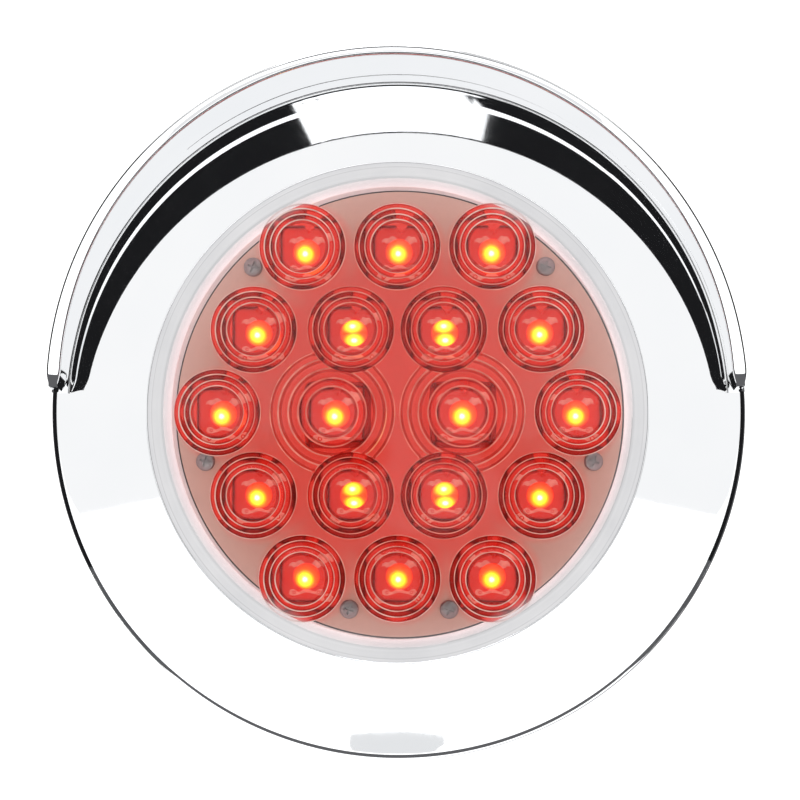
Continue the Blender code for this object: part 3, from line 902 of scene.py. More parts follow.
# ================================================================ grommet
grommet_prof = rounded([
    (55.1, 0.6), (55.1, 5.4), (55.7, 6.0), (65.7, 6.0), (66.5, 5.2), (66.5, 0.6), (66.1, 0.0),
    (56.75, 0.0), (56.75, -3.4), (58.6, -3.4), (59.3, -4.2), (59.3, -6.2), (55.4, -18.6),
    (54.2, -20.3), (51.5, -20.3), (51.1, -19.8), (51.1, 0.6)],
    {"all": 0.35, 1: 0.5, 2: 0.5, 4: 0.6, 5: 0.4, 12: 1.6, 10: 0.5, 11: 0.8, 7: 0.25}, 4)
finish_piece(lathe("rubber_grommet_fine", grommet_prof, [RUBBER], 256), "grommet", "rubber", "rubber_grommet")

# ================================================================ lamp housing
housing_prof = rounded([
    (0.0, -20.0), (43.6, -20.0), (44.8, -19.0), (45.3, -6.5), (48.9, -6.5), (48.9, 3.4),
    (54.4, 3.4), (54.7, 3.1), (54.7, 1.2), (54.4, 0.9), (50.7, 0.9), (50.5, -8.0), (48.2, -10.0),
    (47.4, -20.6), (46.2, -22.0), (40.0, -22.0), (39.6, -22.35), (37.4, -22.35), (37.0, -22.0),
    (28.0, -22.0), (27.6, -22.35), (26.4, -22.35), (26.0, -22.0), (0.0, -22.0)],
    {"all": 0.3, 2: 0.8, 11: 0.8, 12: 0.8, 14: 1.0, 15: 0.2, 16: 0.2}, 4, closed=False)
v, f = lathe_data(housing_prof, 224, closed=False)


def cut_by(ob, parts, smooth_deg=30.0):
    """Cuts closed solids out of a piece and keeps its material."""
    cutter = merged("cutter", parts, [])
    mod = ob.modifiers.new("cut", "BOOLEAN")
    mod.operation = "DIFFERENCE"
    mod.solver = "EXACT"
    mod.object = cutter
    bpy.context.view_layer.update()
    graph = bpy.context.evaluated_depsgraph_get()
    baked = bpy.data.meshes.new_from_object(ob.evaluated_get(graph))
    ob.modifiers.clear()
    ob.data = baked
    bpy.data.objects.remove(cutter, do_unlink=True)
    baked.shade_smooth()
    baked.set_sharp_from_angle(angle=math.radians(smooth_deg))


shell = merged("lamp_housing_shell", [(v, f)], [HOUSING])
cut_by(shell, [prism_data(stadium(33.6, 16.0), [(-24.0, 0.0), (-18.5, 0.0)])])
finish_piece(shell, "lamp", "housing", "lamp_housing")


def socket_shroud():
    """The plug socket's wall as one closed ring with a rounded mouth, and its floor."""
    out, inn = stadium(34.6, 17.0), stadium(30.6, 13.0)
    n = len(out)
    verts, faces = [], []
    o, i_ = np.array(out), np.array(inn)
    rings = []
    cs = [(o, -21.6, 0.0), (o, -25.5, 0.0)]
    prof = [(1.0, -10.5), (1.0, -25.4), (0.93, -25.8), (0.8, -26.0), (0.2, -26.0), (0.07, -25.8), (0.0, -25.4),
            (0.0, -12.4)]
    for w, f in prof:
        pts = i_ + (o - i_) * w
        row = []
        for x, z in pts:
            row.append(len(verts))
            verts.append((x * MM, -f * MM, z * MM))
        rings.append(row)
    for a, b in zip(rings, rings[1:]):
        for k in range(n):
            j = (k + 1) % n
            faces.append((a[k], a[j], b[j], b[k]))
    faces.append(tuple(rings[-1]))
    faces.append(tuple(rings[0]))
    # the solid closes on itself behind the cup's rear wall
    return verts, faces


v1, f1 = socket_shroud()
shroud = merged("plug_socket", [(v1, f1)], [HOUSING])
finish_piece(shroud, "lamp", "housing")

# ================================================================ lens
lens_prof = rounded([
    (0.0, 13.8), (25.0, 13.7), (40.0, 13.4), (47.0, 13.0), (49.2, 12.5), (50.3, 11.5),
    (50.65, 10.3), (50.7, 6.0), (54.4, 6.0), (54.7, 5.7), (54.7, 4.9), (54.4, 4.6), (48.9, 4.6),
    (48.7, 9.9), (48.2, 10.9), (46.8, 11.4), (40.0, 11.6), (0.0, 11.9)],
    {"all": 0.0, 3: 3.0, 4: 2.0, 5: 1.0, 7: 0.4, 8: 0.25, 11: 0.25, 12: 0.3, 13: 0.8, 14: 1.0, 15: 2.0},
    6, closed=False)
finish_piece(lathe("lens_clear", lens_prof, [LENS], 256, closed=False), "lamp", "clear_lens", "lens")

seal_prof = rounded([(51.0, 3.7), (51.0, 4.3), (54.2, 4.3), (54.2, 3.7)], 0.25, 3)
finish_piece(lathe("lens_seal_fine", seal_prof, [SEAL], 192), "lamp", "seal", "lens_seal")

# ================================================================ optic plate
# Fresnel zones of a cell: (inner radius, inner height, outer radius, outer height)
SMALL = [(0.0, 11.3, 5.4, 10.35), (5.62, 10.9, 6.55, 10.25), (6.75, 10.9, 7.75, 10.1), (7.95, 10.8, 8.86, 10.0)]
BIG = [(0.0, 11.3, 5.2, 10.35), (5.52, 10.95, 6.9, 9.95), (7.22, 10.9, 8.9, 9.85), (9.22, 10.8, 11.0, 9.75),
       (11.32, 10.7, 12.75, 9.8)]
BASE_F = 9.4
BACK_F = 8.0


def zone_rows(zones, wall=True):
    rows = []
    for i, (r0, h0, r1, h1) in enumerate(zones):
        if i == 0:
            n = 9
            curve = (h0 - h1)
            for k in range(n + 1):
                r = r1 * k / n
                rows.append((r, h0 - curve * (r / r1) ** 2))
        else:
            n = 3
            for k in range(n + 1):
                q = k / n
                # the slant is slightly convex, like the lens it stands for
                rows.append((r0 + (r1 - r0) * q, h0 + (h1 - h0) * (0.85 * q + 0.15 * q * q)))
    return rows


def build_optic():
    rim = 48.4
    segs_small, segs_big = 96, 128
    verts2, edges2 = [], []

    def loop2(cx, cz, r, n):
        start = len(verts2)
        for k in range(n):
            a = math.tau * k / n
            verts2.append(Vector((cx + r * math.cos(a), cz + r * math.sin(a))))
        for k in range(n):
            edges2.append((start + k, start + (k + 1) % n))

    loop2(0, 0, rim, 256)
    r_small = SMALL[-1][2] + 0.16
    smalls = [(x, z) for x, z, big in CELLS if not big]
    bigs = [(x, z) for x, z, big in CELLS if big]
    for x, z in smalls:
        loop2(x, z, r_small, segs_small)
        loop2(x, z, SMALL[-1][2] + 0.0, segs_small)
    big_rows = zone_rows(BIG)
    def arcs2(cx, cz, r, n):
        """A circle kept only where it runs clear of the small cells and of the other big cell."""
        start = len(verts2)
        keep = []
        for k in range(n):
            a = math.tau * k / n
            x, z = cx + r * math.cos(a), cz + r * math.sin(a)
            verts2.append(Vector((x, z)))
            clear = min(math.hypot(x - sx, z - sz) for sx, sz in smalls) > r_small + 0.12
            keep.append(clear and x * cx > 0.08 * abs(cx))
        for k in range(n):
            if keep[k] and keep[(k + 1) % n]:
                edges2.append((start + k, start + (k + 1) % n))
        for k in range(n):
            if not keep[k]:
                # parked on the centre line of its own cell, where it does no harm
                verts2[start + k] = Vector((cx, cz))

    for x, z in bigs:
        for r, h in big_rows:
            if r > 0.3:
                arcs2(x, z, r, segs_big)
        arcs2(x, z, BIG[-1][2] + 0.22, segs_big)
    out = delaunay_2d_cdt(verts2, edges2, [], 1, 1e-5)
    pts, tris = out[0], out[2]
    big_r = [r for r, h in big_rows]
    big_h = [h for r, h in big_rows]

    def height(x, z, inside_small_edge=False):
        d = min(math.hypot(x - cx, z - cz) for cx, cz in smalls)
        if d <= SMALL[-1][2] + 0.02:
            return SMALL[-1][3]
        for cx, cz in bigs:
            q = math.hypot(x - cx, z - cz)
            if q <= BIG[-1][2] + 0.02:
                return float(np.interp(q, big_r, big_h))
        return BASE_F if math.hypot(x, z) < 48.0 else BASE_F

    verts, faces = [], []
    top = []
    for p in pts:
        x, z = p.x, p.y
        top.append(len(verts))
        verts.append((x * MM, -height(x, z) * MM, z * MM))
    r_in = SMALL[-1][2]
    for tri in tris:
        c = sum((pts[i] for i in tri), Vector((0.0, 0.0))) / 3
        if any(math.hypot(c.x - cx, c.y - cz) < r_in * math.cos(math.pi / segs_small) - 1e-4 for cx, cz in smalls):
            continue
        if math.hypot(c.x, c.y) > rim:
            continue
        faces.append(tuple(top[i] for i in tri))
    # small cells as polar grids that end on the triangulated circle
    rows = zone_rows(SMALL)
    for cx, cz in smalls:
        prev = None
        for r, h in rows:
            if r < 1e-6:
                verts.append((cx * MM, -h * MM, cz * MM))
                cur = [len(verts) - 1] * segs_small
            else:
                cur = []
                for k in range(segs_small):
                    a = math.tau * k / segs_small
                    cur.append(len(verts))
                    verts.append(((cx + r * math.cos(a)) * MM, -h * MM, (cz + r * math.sin(a)) * MM))
            if prev is not None:
                for k in range(segs_small):
                    j = (k + 1) % segs_small
                    if prev[k] == prev[j]:
                        faces.append((prev[k], cur[k], cur[j]))
                    else:
                        faces.append((prev[k], cur[k], cur[j], prev[j]))
            prev = cur
    # rim wall, back
    n = 256
    prev = None
    for r, f in ((rim, BASE_F), (rim, BACK_F + 0.2), (rim - 0.2, BACK_F), (0.0, BACK_F)):
        if r == 0.0:
            verts.append((0.0, -f * MM, 0.0))
            cur = [len(verts) - 1] * n
        else:
            cur = []
            for k in range(n):
                a = math.tau * k / n
                cur.append(len(verts))
                verts.append((r * math.cos(a) * MM, -f * MM, r * math.sin(a) * MM))
        if prev is not None:
            for k in range(n):
                j = (k + 1) % n
                if cur[k] == cur[j]:
                    faces.append((prev[k], prev[j], cur[k]))
                else:
                    faces.append((prev[k], prev[j], cur[j], cur[k]))
        prev = cur
    mesh = bpy.data.meshes.new("optic_cells")
    mesh.from_pydata(verts, [], faces)
    bm = bmesh.new()
    bm.from_mesh(mesh)
    bmesh.ops.remove_doubles(bm, verts=bm.verts, dist=3e-6)
    bmesh.ops.dissolve_degenerate(bm, dist=1e-7, edges=bm.edges)
    bmesh.ops.recalc_face_normals(bm, faces=bm.faces)
    open_edges = sum(1 for e in bm.edges if len(e.link_faces) != 2)
    print("optic: open or shared edges", open_edges, "verts", len(bm.verts))
    bm.to_mesh(mesh)
    bm.free()
    mesh.materials.append(OPTIC)
    mesh.materials.append(STEP)
    mesh.materials.append(GROOVE_SHADE)
    # painted shade: the low outer part of each Fresnel zone gets the darker groove material
    for poly in mesh.polygons:
        c = poly.center
        if c.y > -9.5 * MM:
            continue
        x, z = c.x / MM, c.z / MM
        for cx, cz, big in sorted(CELLS, key=lambda q: q[2]):
            zones = BIG if big else SMALL
            q = math.hypot(x - cx, z - cz)
            if q > zones[-1][2]:
                continue
            for i, (r0, h0, r1, h1) in enumerate(zones):
                if r0 <= q <= r1 and q > (r1 - 0.62 if i == 0 else r0 + 0.66 * (r1 - r0)):
                    poly.material_index = 2
            break
    # painted light: the steep step walls get the glowing step material
    for poly in mesh.polygons:
        c = poly.center
        if abs(poly.normal.y) < 0.62 and c.y < -9.35 * MM and math.hypot(c.x, c.z) < 48.2 * MM:
            poly.material_index = 1
    mesh.shade_smooth()
    mesh.set_sharp_from_angle(angle=math.radians(20.0))
    ob = bpy.data.objects.new("optic_cells", mesh)
    scene.collection.objects.link(ob)
    return ob


finish_piece(build_optic(), "lamp", "clear_optics", "optic_plate")
skirt_prof = rounded([(48.45, 7.9), (48.5, -6.1), (47.3, -6.1), (47.3, 6.6), (46.4, 7.9)],
                     {"all": 0.25, 3: 0.6}, 5)
finish_piece(lathe("optic_skirt", skirt_prof, [SKIRT], 224), "lamp", "clear_optics")


# ================================================================ board
def build_board():
    """A round board with screw holes."""
    verts2, edges2 = [], []

    def loop2(cx, cz, r, n):
        start = len(verts2)
        for k in range(n):
            a = math.tau * k / n
            verts2.append(Vector((cx + r * math.cos(a), cz + r * math.sin(a))))
        for k in range(n):
            edges2.append((start + k, start + (k + 1) % n))

    loop2(0, 0, 46.9, 192)
    for x, z in SCREWS:
        loop2(x, z, 1.4, 24)
    out = delaunay_2d_cdt(verts2, edges2, [], 1, 1e-5)
    pts, tris = out[0], out[2]
    keep = []
    for tri in tris:
        c = sum((pts[i] for i in tri), Vector((0.0, 0.0))) / 3
        if any(math.hypot(c.x - sx, c.y - sz) < 1.38 for sx, sz in SCREWS):
            continue
        keep.append(tri)
    verts, faces = [], []
    for f in (-4.6, -6.2):
        for p in pts:
            verts.append((p.x * MM, -f * MM, p.y * MM))
    m = len(pts)
    count = {}
    for tri in keep:
        faces.append(tuple(tri))
        faces.append(tuple(m + i for i in reversed(tri)))
        for i in range(3):
            e = (tri[i], tri[(i + 1) % 3])
            count[tuple(sorted(e))] = count.get(tuple(sorted(e)), 0) + 1
    for (a, b), c in count.items():
        if c == 1:
            faces.append((a, b, m + b, m + a))
    ob = new_object("circuit_board_fine", verts, faces, [BOARD], 30.0)
    bev = ob.modifiers.new("edge", "BEVEL")
    bev.width = 0.12 * MM
    bev.segments = 2
    bev.limit_method = "ANGLE"
    bev.angle_limit = math.radians(60.0)
    return ob


finish_piece(build_board(), "lamp", "board", "circuit_board")


# ================================================================ LEDs
def led_outline():
    """Square body with round corners and the polarity notch in its top edge."""
    half = 3.81
    pts = []
    r = 0.75
    steps = 6

    def corner(cx, cz, a0):
        for k in range(steps + 1):
            a = math.radians(a0 + 90.0 * k / steps)
            pts.append((cx + r * math.cos(a), cz + r * math.sin(a)))

    corner(half - r, half - r, 0)
    pts.extend([(1.7, half), (1.15, half), (0.95, half - 0.35), (0.62, half - 0.55), (0.42, half - 1.0),
                (0.22, half - 1.12), (0.05, half - 0.75), (-0.35, half - 0.5), (-0.55, half - 0.08), (-0.8, half)])
    corner(-half + r, half - r, 90)
    corner(-half + r, -half + r, 180)
    corner(half - r, -half + r, 270)
    return pts


def crown():
    """The upper lead frame's outline, like a low crown."""
    return [(-2.55, 1.35), (-2.45, 1.75), (-2.0, 2.05), (-1.55, 1.95), (-1.2, 2.25), (-0.75, 2.3), (-0.35, 1.95),
            (0.1, 1.55), (0.5, 1.6), (0.95, 1.95), (1.25, 2.35), (1.75, 2.2), (2.2, 2.25), (2.5, 1.85), (2.6, 1.4),
            (2.15, 1.5), (1.75, 1.2), (1.3, 1.0), (0.8, 1.15), (0.45, 0.8), (-0.05, 0.85), (-0.45, 1.1),
            (-0.95, 1.05), (-1.35, 1.4), (-1.8, 1.25), (-2.2, 1.5)]


def bone():
    """The lower lead frame's outline, like a bone with two round ends."""
    return [(-2.5, -2.3), (-2.35, -1.95), (-1.95, -1.8), (-1.55, -1.95), (-1.2, -2.25), (-0.8, -2.1), (-0.4, -1.85),
            (0.0, -1.75), (0.45, -1.9), (0.9, -2.15), (1.3, -2.2), (1.65, -1.9), (2.05, -1.8), (2.4, -1.95),
            (2.55, -2.35), (2.35, -2.7), (1.9, -2.8), (1.5, -2.6), (1.0, -2.5), (0.4, -2.35), (-0.1, -2.3),
            (-0.6, -2.45), (-1.1, -2.6), (-1.6, -2.75), (-2.1, -2.75), (-2.4, -2.6)]


def build_led_mesh():
    parts = []
    top = LED_TOP_F
    body = prism_data(led_outline(), [(top - 2.9, 0.12), (top - 2.78, 0.0), (top - 0.35, 0.0), (top - 0.14, 0.09),
                                      (top, 0.3)])
    parts.append((body[0], body[1], 0))
    # dome over the die
    rows = []
    for k in range(11):
        q = math.radians(90.0 * k / 10)
        rows.append((1.9 * math.cos(q), top - 0.1 + 1.9 * math.sin(q)))
    rows = [(0.0, top - 0.6), (1.9, top - 0.6)] + rows
    rows[-1] = (0.0, rows[-1][1])
    v, f = lathe_data(rows, 40, closed=False)
    parts.append((v, f, 1))
    # lead frames lie at the top of the epoxy
    for outline in (crown(), bone()):
        v, f = prism_data(outline, [(top - 0.15, 0.0), (top + 0.015, 0.0), (top + 0.035, 0.04)])
        parts.append((v, f, 2))
    # tiny holes of the lower frame, as raised dark rings
    for hx in (-1.75, 1.75):
        v, f = lathe_data(rounded([(0.13, top), (0.13, top + 0.06), (0.24, top + 0.06), (0.24, top)], 0.02, 2),
                          16, centre=(hx, -2.3))
        parts.append((v, f, 0))
    for sx in (-1, 1):
        for sz in (-1, 1):
            v, f = prism_data(round_rect(0.9, 0.5, 0.08, 2),
                              [(top - 3.9, 0.02), (top - 3.85, 0.0), (top - 2.6, 0.0)], (sx * 2.54, sz * 2.54))
            parts.append((v, f, 3))
            v, f = lathe_data(rounded([(0.0, top - 4.09), (0.95, top - 4.09), (0.75, top - 3.98), (0.45, top - 3.7),
                                       (0.0, top - 3.6)], 0.05, 2, closed=False), 20, closed=False,
                              centre=(sx * 2.54, sz * 2.54))
            parts.append((v, f, 3))
    return parts


led_parts = build_led_mesh()
first = twin = None
for k, (x, z, big) in enumerate(CELLS):
    two = abs(abs(z) - ROW_Z) < 0.1 and abs(x) < 12.0
    if two and twin is None:
        ob = merged("led_fine_%02d" % (k + 1), led_parts, [LED, DOME2, LEAD, TIN], 28.0)
        twin = ob
    elif two:
        ob = bpy.data.objects.new("led_fine_%02d" % (k + 1), twin.data)
        scene.collection.objects.link(ob)
    elif first is None:
        ob = merged("led_fine_%02d" % (k + 1), led_parts, [LED, DOME, LEAD, TIN], 28.0)
        first = ob
    else:
        ob = bpy.data.objects.new("led_fine_%02d" % (k + 1), first.data)
        scene.collection.objects.link(ob)
    ob.location = (x * MM, 0.0, z * MM)
    finish_piece(ob, "lamp", "led", "led_%02d" % (k + 1))


# ================================================================ screws
def screw_parts(x, z):
    head = rounded([(0.0, -3.75), (0.0, -3.02)], 0.0)
    prof = [(0.0, -3.02)]
    for k in range(1, 9):
        q = math.radians(90.0 * k / 8)
        prof.append((2.0 * math.sin(q), -3.75 + 0.73 * math.cos(q)))
    prof += [(2.0, -4.2), (1.9, -4.3), (0.95, -4.3)]
    f = -4.5
    while f > -12.2:
        prof += [(0.82, f), (0.98, f - 0.22), (0.82, f - 0.44)]
        f -= 0.6
    prof += [(0.6, -12.6), (0.2, -13.1), (0.0, -13.2)]
    v, fc = lathe_data(prof, 40, closed=False, centre=(x, z))
    out = [(v, fc, 0)]
    return out


def cut_recess(ob, x, z):
    bm = bmesh.new()
    for turn in (20.0, 110.0):
        res = bmesh.ops.create_cube(bm, size=1.0, matrix=Matrix.Translation((x * MM, 3.1 * MM, z * MM))
                                    @ Matrix.Rotation(math.radians(turn), 4, "Y")
                                    @ Matrix.Diagonal((2.3 * MM, 1.5 * MM, 0.42 * MM, 1.0)))
    mesh = bpy.data.meshes.new("recess")
    bm.to_mesh(mesh)
    bm.free()
    cutter = bpy.data.objects.new("recess", mesh)
    scene.collection.objects.link(cutter)
    mod = ob.modifiers.new("recess", "BOOLEAN")
    mod.operation = "DIFFERENCE"
    mod.solver = "EXACT"
    mod.use_self = True
    mod.object = cutter
    bpy.context.view_layer.update()
    graph = bpy.context.evaluated_depsgraph_get()
    baked = bpy.data.meshes.new_from_object(ob.evaluated_get(graph))
    ob.modifiers.clear()
    old = ob.data
    ob.data = baked
    bpy.data.objects.remove(cutter, do_unlink=True)
    baked.shade_smooth()
    baked.set_sharp_from_angle(angle=math.radians(30.0))


for k, (x, z) in enumerate(SCREWS):
    ob = merged("board_screw_fine_%d" % (k + 1), screw_parts(x, z), [STEEL], 30.0)
    cut_recess(ob, x, z)
    finish_piece(ob, "lamp", "screw", "board_screw_%d" % (k + 1))

# ================================================================ pins, potting, chips
for name, x in (("terminal_tail", -9.0), ("terminal_ground", 0.0), ("terminal_stop", 9.0)):
    prof = [(0.0, -6.5), (0.9, -6.5), (0.9, -9.0)] + rounded(
        [(0.9, -9.0), (2.0, -9.4), (2.0, -14.0), (1.86, -14.2), (1.86, -14.7), (2.0, -14.9), (2.0, -19.8),
         (1.7, -20.4), (1.1, -20.6), (0.0, -20.6)], {"all": 0.12, 7: 0.5}, 3, closed=False)[1:]
    ob = lathe(name + "_fine", prof, [BRASS], 40, closed=False, centre=(x, 0.0))
    finish_piece(ob, "lamp", "terminal", name)


def build_potting():
    out = stadium(27.0, 9.0, 20)
    parts = [prism_data(out, [(-9.7, 0.1), (-9.6, 0.0), (-8.3, 0.0), (-8.12, 0.12), (-8.02, 0.4)])]
    return merged("terminal_potting_fine", parts, [EPOXY])


finish_piece(build_potting(), "lamp", "epoxy", "terminal_potting")

for k in range(6):
    a = math.radians(30.0 + 60.0 * k)
    c = (27.0 * math.cos(a), 27.0 * math.sin(a))
    parts = []
    v, f = prism_data(round_rect(5.2, 3.1, 0.08, 2), [(-7.15, 0.05), (-7.1, 0.0), (-6.6, 0.0), (-6.55, 0.05)], c, a)
    parts.append((v, f, 0))
    for s in (-1, 1):
        cc = (c[0] + s * 2.8 * math.cos(a), c[1] + s * 2.8 * math.sin(a))
        v, f = prism_data(round_rect(0.75, 3.2, 0.1, 3), [(-7.2, 0.06), (-7.14, 0.0), (-6.55, 0.0), (-6.51, 0.04)],
                          cc, a)
        parts.append((v, f, 1))
    ob = merged("resistor_fine_%d" % (k + 1), parts, [CHIP, TIN])
    finish_piece(ob, "lamp", "chip", "resistor_%d" % (k + 1))

for k, x in enumerate((-14.0, 0.0, 14.0)):
    parts = []
    v, f = prism_data(round_rect(4.0, 2.6, 0.2, 3), [(-8.55, 0.3), (-8.45, 0.18), (-7.5, 0.0), (-6.75, 0.12),
                                                     (-6.65, 0.2)], (x, 14.5))
    parts.append((v, f, 0))
    for s in (-1, 1):
        v, f = prism_data(round_rect(0.7, 1.4, 0.1, 3), [(-7.6, 0.05), (-7.55, 0.0), (-6.55, 0.0), (-6.51, 0.05)],
                          (x + s * 1.85, 14.5))
        parts.append((v, f, 1))
    ob = merged("diode_fine_%d" % (k + 1), parts, [DIODE, TIN])
    finish_piece(ob, "lamp", "diode", "diode_%d" % (k + 1))


# ================================================================ studio
def stage_material(name, colour, strength):
    mat = bpy.data.materials.new(name)
    mat.use_nodes = True
    nt = mat.node_tree
    nt.nodes.remove(nt.nodes["Principled BSDF"])
    em = nt.nodes.new("ShaderNodeEmission")
    em.inputs["Color"].default_value = (*colour, 1.0)
    em.inputs["Strength"].default_value = strength
    nt.links.new(em.outputs[0], nt.nodes["Material Output"].inputs["Surface"])
    return mat


def card(name, verts, faces, mat, glossy_only=True):
    mesh = bpy.data.meshes.new(name)
    mesh.from_pydata(verts, [], faces)
    mesh.materials.append(mat)
    ob = bpy.data.objects.new(name, mesh)
    scene.collection.objects.link(ob)
    if glossy_only:
        ob.visible_camera = False
        ob.visible_diffuse = False
        ob.visible_transmission = False
        ob.visible_shadow = False
    return ob


world = bpy.data.worlds.new("studio")
scene.world = world
world.use_nodes = True
wn = world.node_tree
bg = wn.nodes["Background"]
bg.inputs["Color"].default_value = (1.0, 1.0, 1.0, 1.0)
bg.inputs["Strength"].default_value = 1.0

BLACK_CARD = stage_material("flag_black", (0.012, 0.012, 0.013), 1.0)
GREY_CARD = stage_material("flag_grey", (0.5, 0.51, 0.53), 1.0)

# floor: a pale sweep well below and behind the lamp
floor_mat = bpy.data.materials.new("pale_floor")
floor_mat.use_nodes = True
fb = floor_mat.node_tree.nodes["Principled BSDF"]
fb.inputs["Base Color"].default_value = (0.9, 0.9, 0.9, 1.0)
fb.inputs["Roughness"].default_value = 0.8
fb.inputs["Emission Color"].default_value = (1.0, 1.0, 1.0, 1.0)
fb.inputs["Emission Strength"].default_value = 0.35


def sweep():
    verts, faces = [], []
    rows = [(-3.0, -0.30), (0.9, -0.30)]
    for k in range(1, 13):
        q = math.radians(90.0 * k / 12)
        rows.append((0.9 + 0.6 * math.sin(q), -0.30 + 0.6 * (1 - math.cos(q))))
    rows.append((1.5, 2.6))
    for y, z in rows:
        verts += [(-3.0, y, z), (3.0, y, z)]
    for k in range(len(rows) - 1):
        faces.append((2 * k, 2 * k + 1, 2 * k + 3, 2 * k + 2))
    mesh = bpy.data.meshes.new("floor_sweep")
    mesh.from_pydata(verts, [], faces)
    mesh.shade_smooth()
    mesh.materials.append(floor_mat)
    ob = bpy.data.objects.new("floor_sweep", mesh)
    scene.collection.objects.link(ob)
    return ob


floor = sweep()


def polar_card(name, inner, outer, a0, a1, dist, mat, n=90):
    """A dark card in front of the lamp, in the plane y = -dist, from polar limits in mm per metre."""
    verts, faces = [], []
    for k in range(n + 1):
        a = a0 + (a1 - a0) * k / n
        ri, ro = inner(a), outer(a)
        for r in (ri, ro):
            verts.append((r * math.cos(a), -dist, r * math.sin(a)))
    for k in range(n):
        faces.append((2 * k, 2 * k + 1, 2 * k + 3, 2 * k + 2))
    return card(name, verts, faces, mat)


def d_inner(a):
    off = abs(math.degrees(a) + 90.0)
    deg = 4.0 if off < 50 else 4.0 + (2.0 - 4.0) * min(1.0, (off - 50) / 25.0)
    return math.tan(math.radians(deg))


def d_outer(a):
    off = abs(math.degrees(a) + 96.1)
    rag = 0.6 * math.sin(off * 1.9) + 0.4 * math.sin(off * 4.1 + 1.0)
    deg = 10.9 if off < 18 else 10.9 + (15.6 - 10.9) * min(1.0, (off - 18) / 4.0)
    return math.tan(math.radians(deg + (rag if 14 < off < 24 else 0.0)))


polar_card("card_front", d_inner, d_outer, math.radians(-184.0), math.radians(4.0), 1.0, BLACK_CARD, 188)

# side flags that draw the dark edge lines of the chrome
for s in (-1, 1):
    card("flag_side_%s" % ("l" if s < 0 else "r"),
         [(s * 0.62, -0.50, -0.29), (s * 0.62, 0.45, -0.29), (s * 0.62, 0.45, 0.5), (s * 0.62, -0.50, 0.5)],
         [(0, 1, 2, 3)], BLACK_CARD)
    card("flag_wing_%s" % ("l" if s < 0 else "r"),
         [(s * 0.22, -0.20, -0.288), (s * 0.62, -0.45, -0.288), (s * 0.62, 0.40, -0.288), (s * 0.30, 0.30, -0.288)],
         [(0, 1, 2, 3)], stage_material("flag_wing", (0.10, 0.10, 0.105), 1.0))


GREY_DARK = stage_material("flag_dark_grey", (0.12, 0.12, 0.125), 1.0)
GREY_PALE = stage_material("flag_pale_grey", (0.46, 0.47, 0.49), 1.0)


def ring_card(name, inner, outer, a0, a1, y, mat, n=72):
    verts, faces = [], []
    for k in range(n + 1):
        a = math.radians(a0 + (a1 - a0) * k / n)
        for r in (inner, outer):
            verts.append((r * math.cos(a), y, r * math.sin(a)))
    for k in range(n):
        faces.append((2 * k, 2 * k + 1, 2 * k + 3, 2 * k + 2))
    return card(name, verts, faces, mat)


ring_card("flag_back_left", 0.095, 0.42, 140.0, 214.0, 0.25, GREY_DARK)
ring_card("flag_back_right", 0.095, 0.42, -34.0, 40.0, 0.25, GREY_DARK)
for k in range(8):
    tone = 0.16 + 0.05 * k
    grey = stage_material("flag_step_%d" % k, (tone, tone, tone * 1.03), 1.0)
    ring_card("flag_step_left_%d" % k, 0.095, 0.36 - 0.01 * k, 214.0 + 4.0 * k, 218.0 + 4.0 * k, 0.25, grey, 4)
    ring_card("flag_step_right_%d" % k, 0.095, 0.36 - 0.01 * k, -38.0 - 4.0 * k, -34.0 - 4.0 * k, 0.25, grey, 4)
ring_card("flag_back_low", 0.095, 0.28, 246.0, 294.0, 0.25, stage_material("flag_low", (0.56, 0.57, 0.58), 1.0))
ring_card("flag_back_top", 0.085, 0.30, 40.0, 140.0, 0.25, GREY_PALE)
card("flag_under", [(-0.32, -0.26, -0.285), (0.32, -0.26, -0.285), (0.32, 0.02, -0.285), (-0.32, 0.02, -0.285)],
     [(0, 1, 2, 3)], GREY_DARK)
card("flag_low_patch", [(-0.064, -0.63, -0.286), (0.024, -0.63, -0.286), (0.012, -0.42, -0.286), (-0.052, -0.42, -0.286)],
     [(0, 1, 2, 3)], stage_material("flag_soft", (0.84, 0.845, 0.85), 1.0))
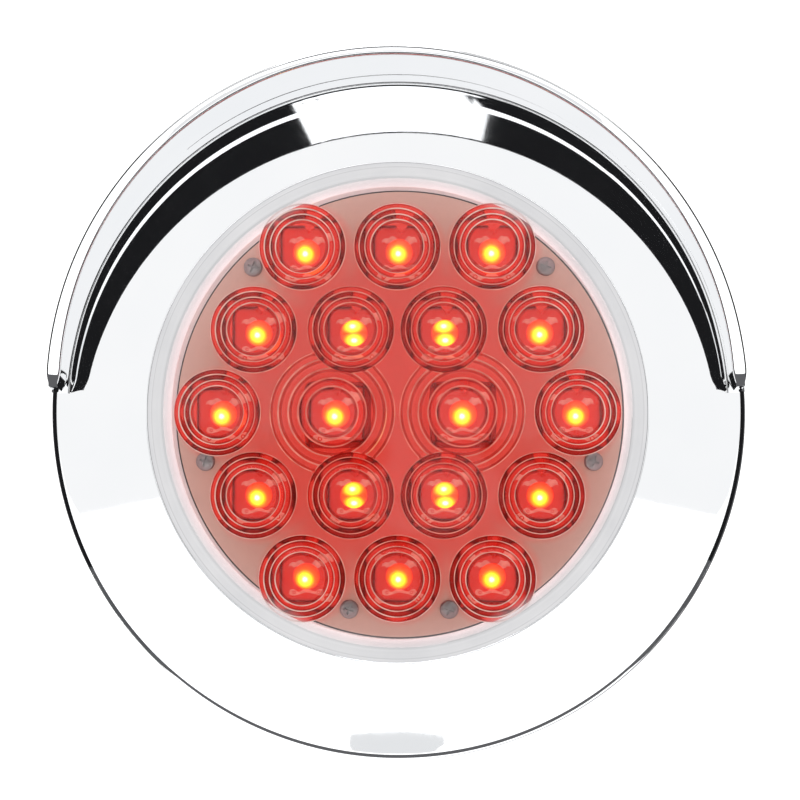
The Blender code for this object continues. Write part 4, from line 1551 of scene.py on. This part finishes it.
# strips overhead that give the visor's outside something to mirror
for k, (y0, y1, tone) in enumerate(((-0.02, 0.16, 0.06), (0.24, 0.40, 0.30), (0.62, 0.90, 0.16), (-0.62, -0.45, 0.35))):
    card("flag_top_%d" % k, [(-0.9, y0, 0.80), (0.9, y0, 0.80), (0.9, y1, 0.80), (-0.9, y1, 0.80)],
         [(0, 1, 2, 3)], stage_material("flag_top_%d" % k, (tone, tone, tone * 1.03), 1.0))
for k, (z0, z1, tone) in enumerate(((0.66, 0.80, 0.30), (0.92, 1.08, 0.12), (1.25, 1.50, 0.40))):
    card("flag_fore_%d" % k, [(-1.4, -1.3, z0), (1.4, -1.3, z0), (1.4, -1.3, z1), (-1.4, -1.3, z1)],
         [(0, 1, 2, 3)], stage_material("flag_fore_%d" % k, (tone, tone, tone * 1.03), 1.0))
for s in (-1, 1):
    card("flag_rear_%s" % ("l" if s < 0 else "r"),
         [(s * 0.55, 0.62, -0.27), (s * 0.30, 0.90, -0.27), (s * 0.30, 0.90, 0.7), (s * 0.55, 0.62, 0.7)],
         [(0, 1, 2, 3)], stage_material("flag_rear", (0.14, 0.14, 0.145), 1.0))


def area(name, loc, target, size, power, colour=(1.0, 1.0, 1.0)):
    data = bpy.data.lights.new(name, "AREA")
    data.shape = "RECTANGLE"
    data.size, data.size_y = size
    data.energy = power
    data.color = colour
    ob = bpy.data.objects.new(name, data)
    scene.collection.objects.link(ob)
    ob.location = loc
    d = Vector(target) - Vector(loc)
    ob.rotation_mode = "QUATERNION"
    ob.rotation_quaternion = d.to_track_quat("-Z", "Y")
    return ob


key = area("softbox_top", (-0.2, -0.5, 1.3), (0, 0, 0), (0.9, 0.9), 10.0)

# ================================================================ camera
cam_data = bpy.data.cameras.new("camera")
cam_data.sensor_width = 36.0
cam_data.lens = 123.0
cam = bpy.data.objects.new("camera", cam_data)
scene.collection.objects.link(cam)
CAM_AT = Vector((0.017, -0.571, -0.014))
CAM_TO = Vector((0.0006, -0.011, 0.0025))
cam.location = CAM_AT
cam.rotation_mode = "QUATERNION"
cam.rotation_quaternion = (CAM_TO - CAM_AT).to_track_quat("-Z", "Y")
cam_data.clip_start = 0.01
cam_data.clip_end = 20.0
scene.camera = cam
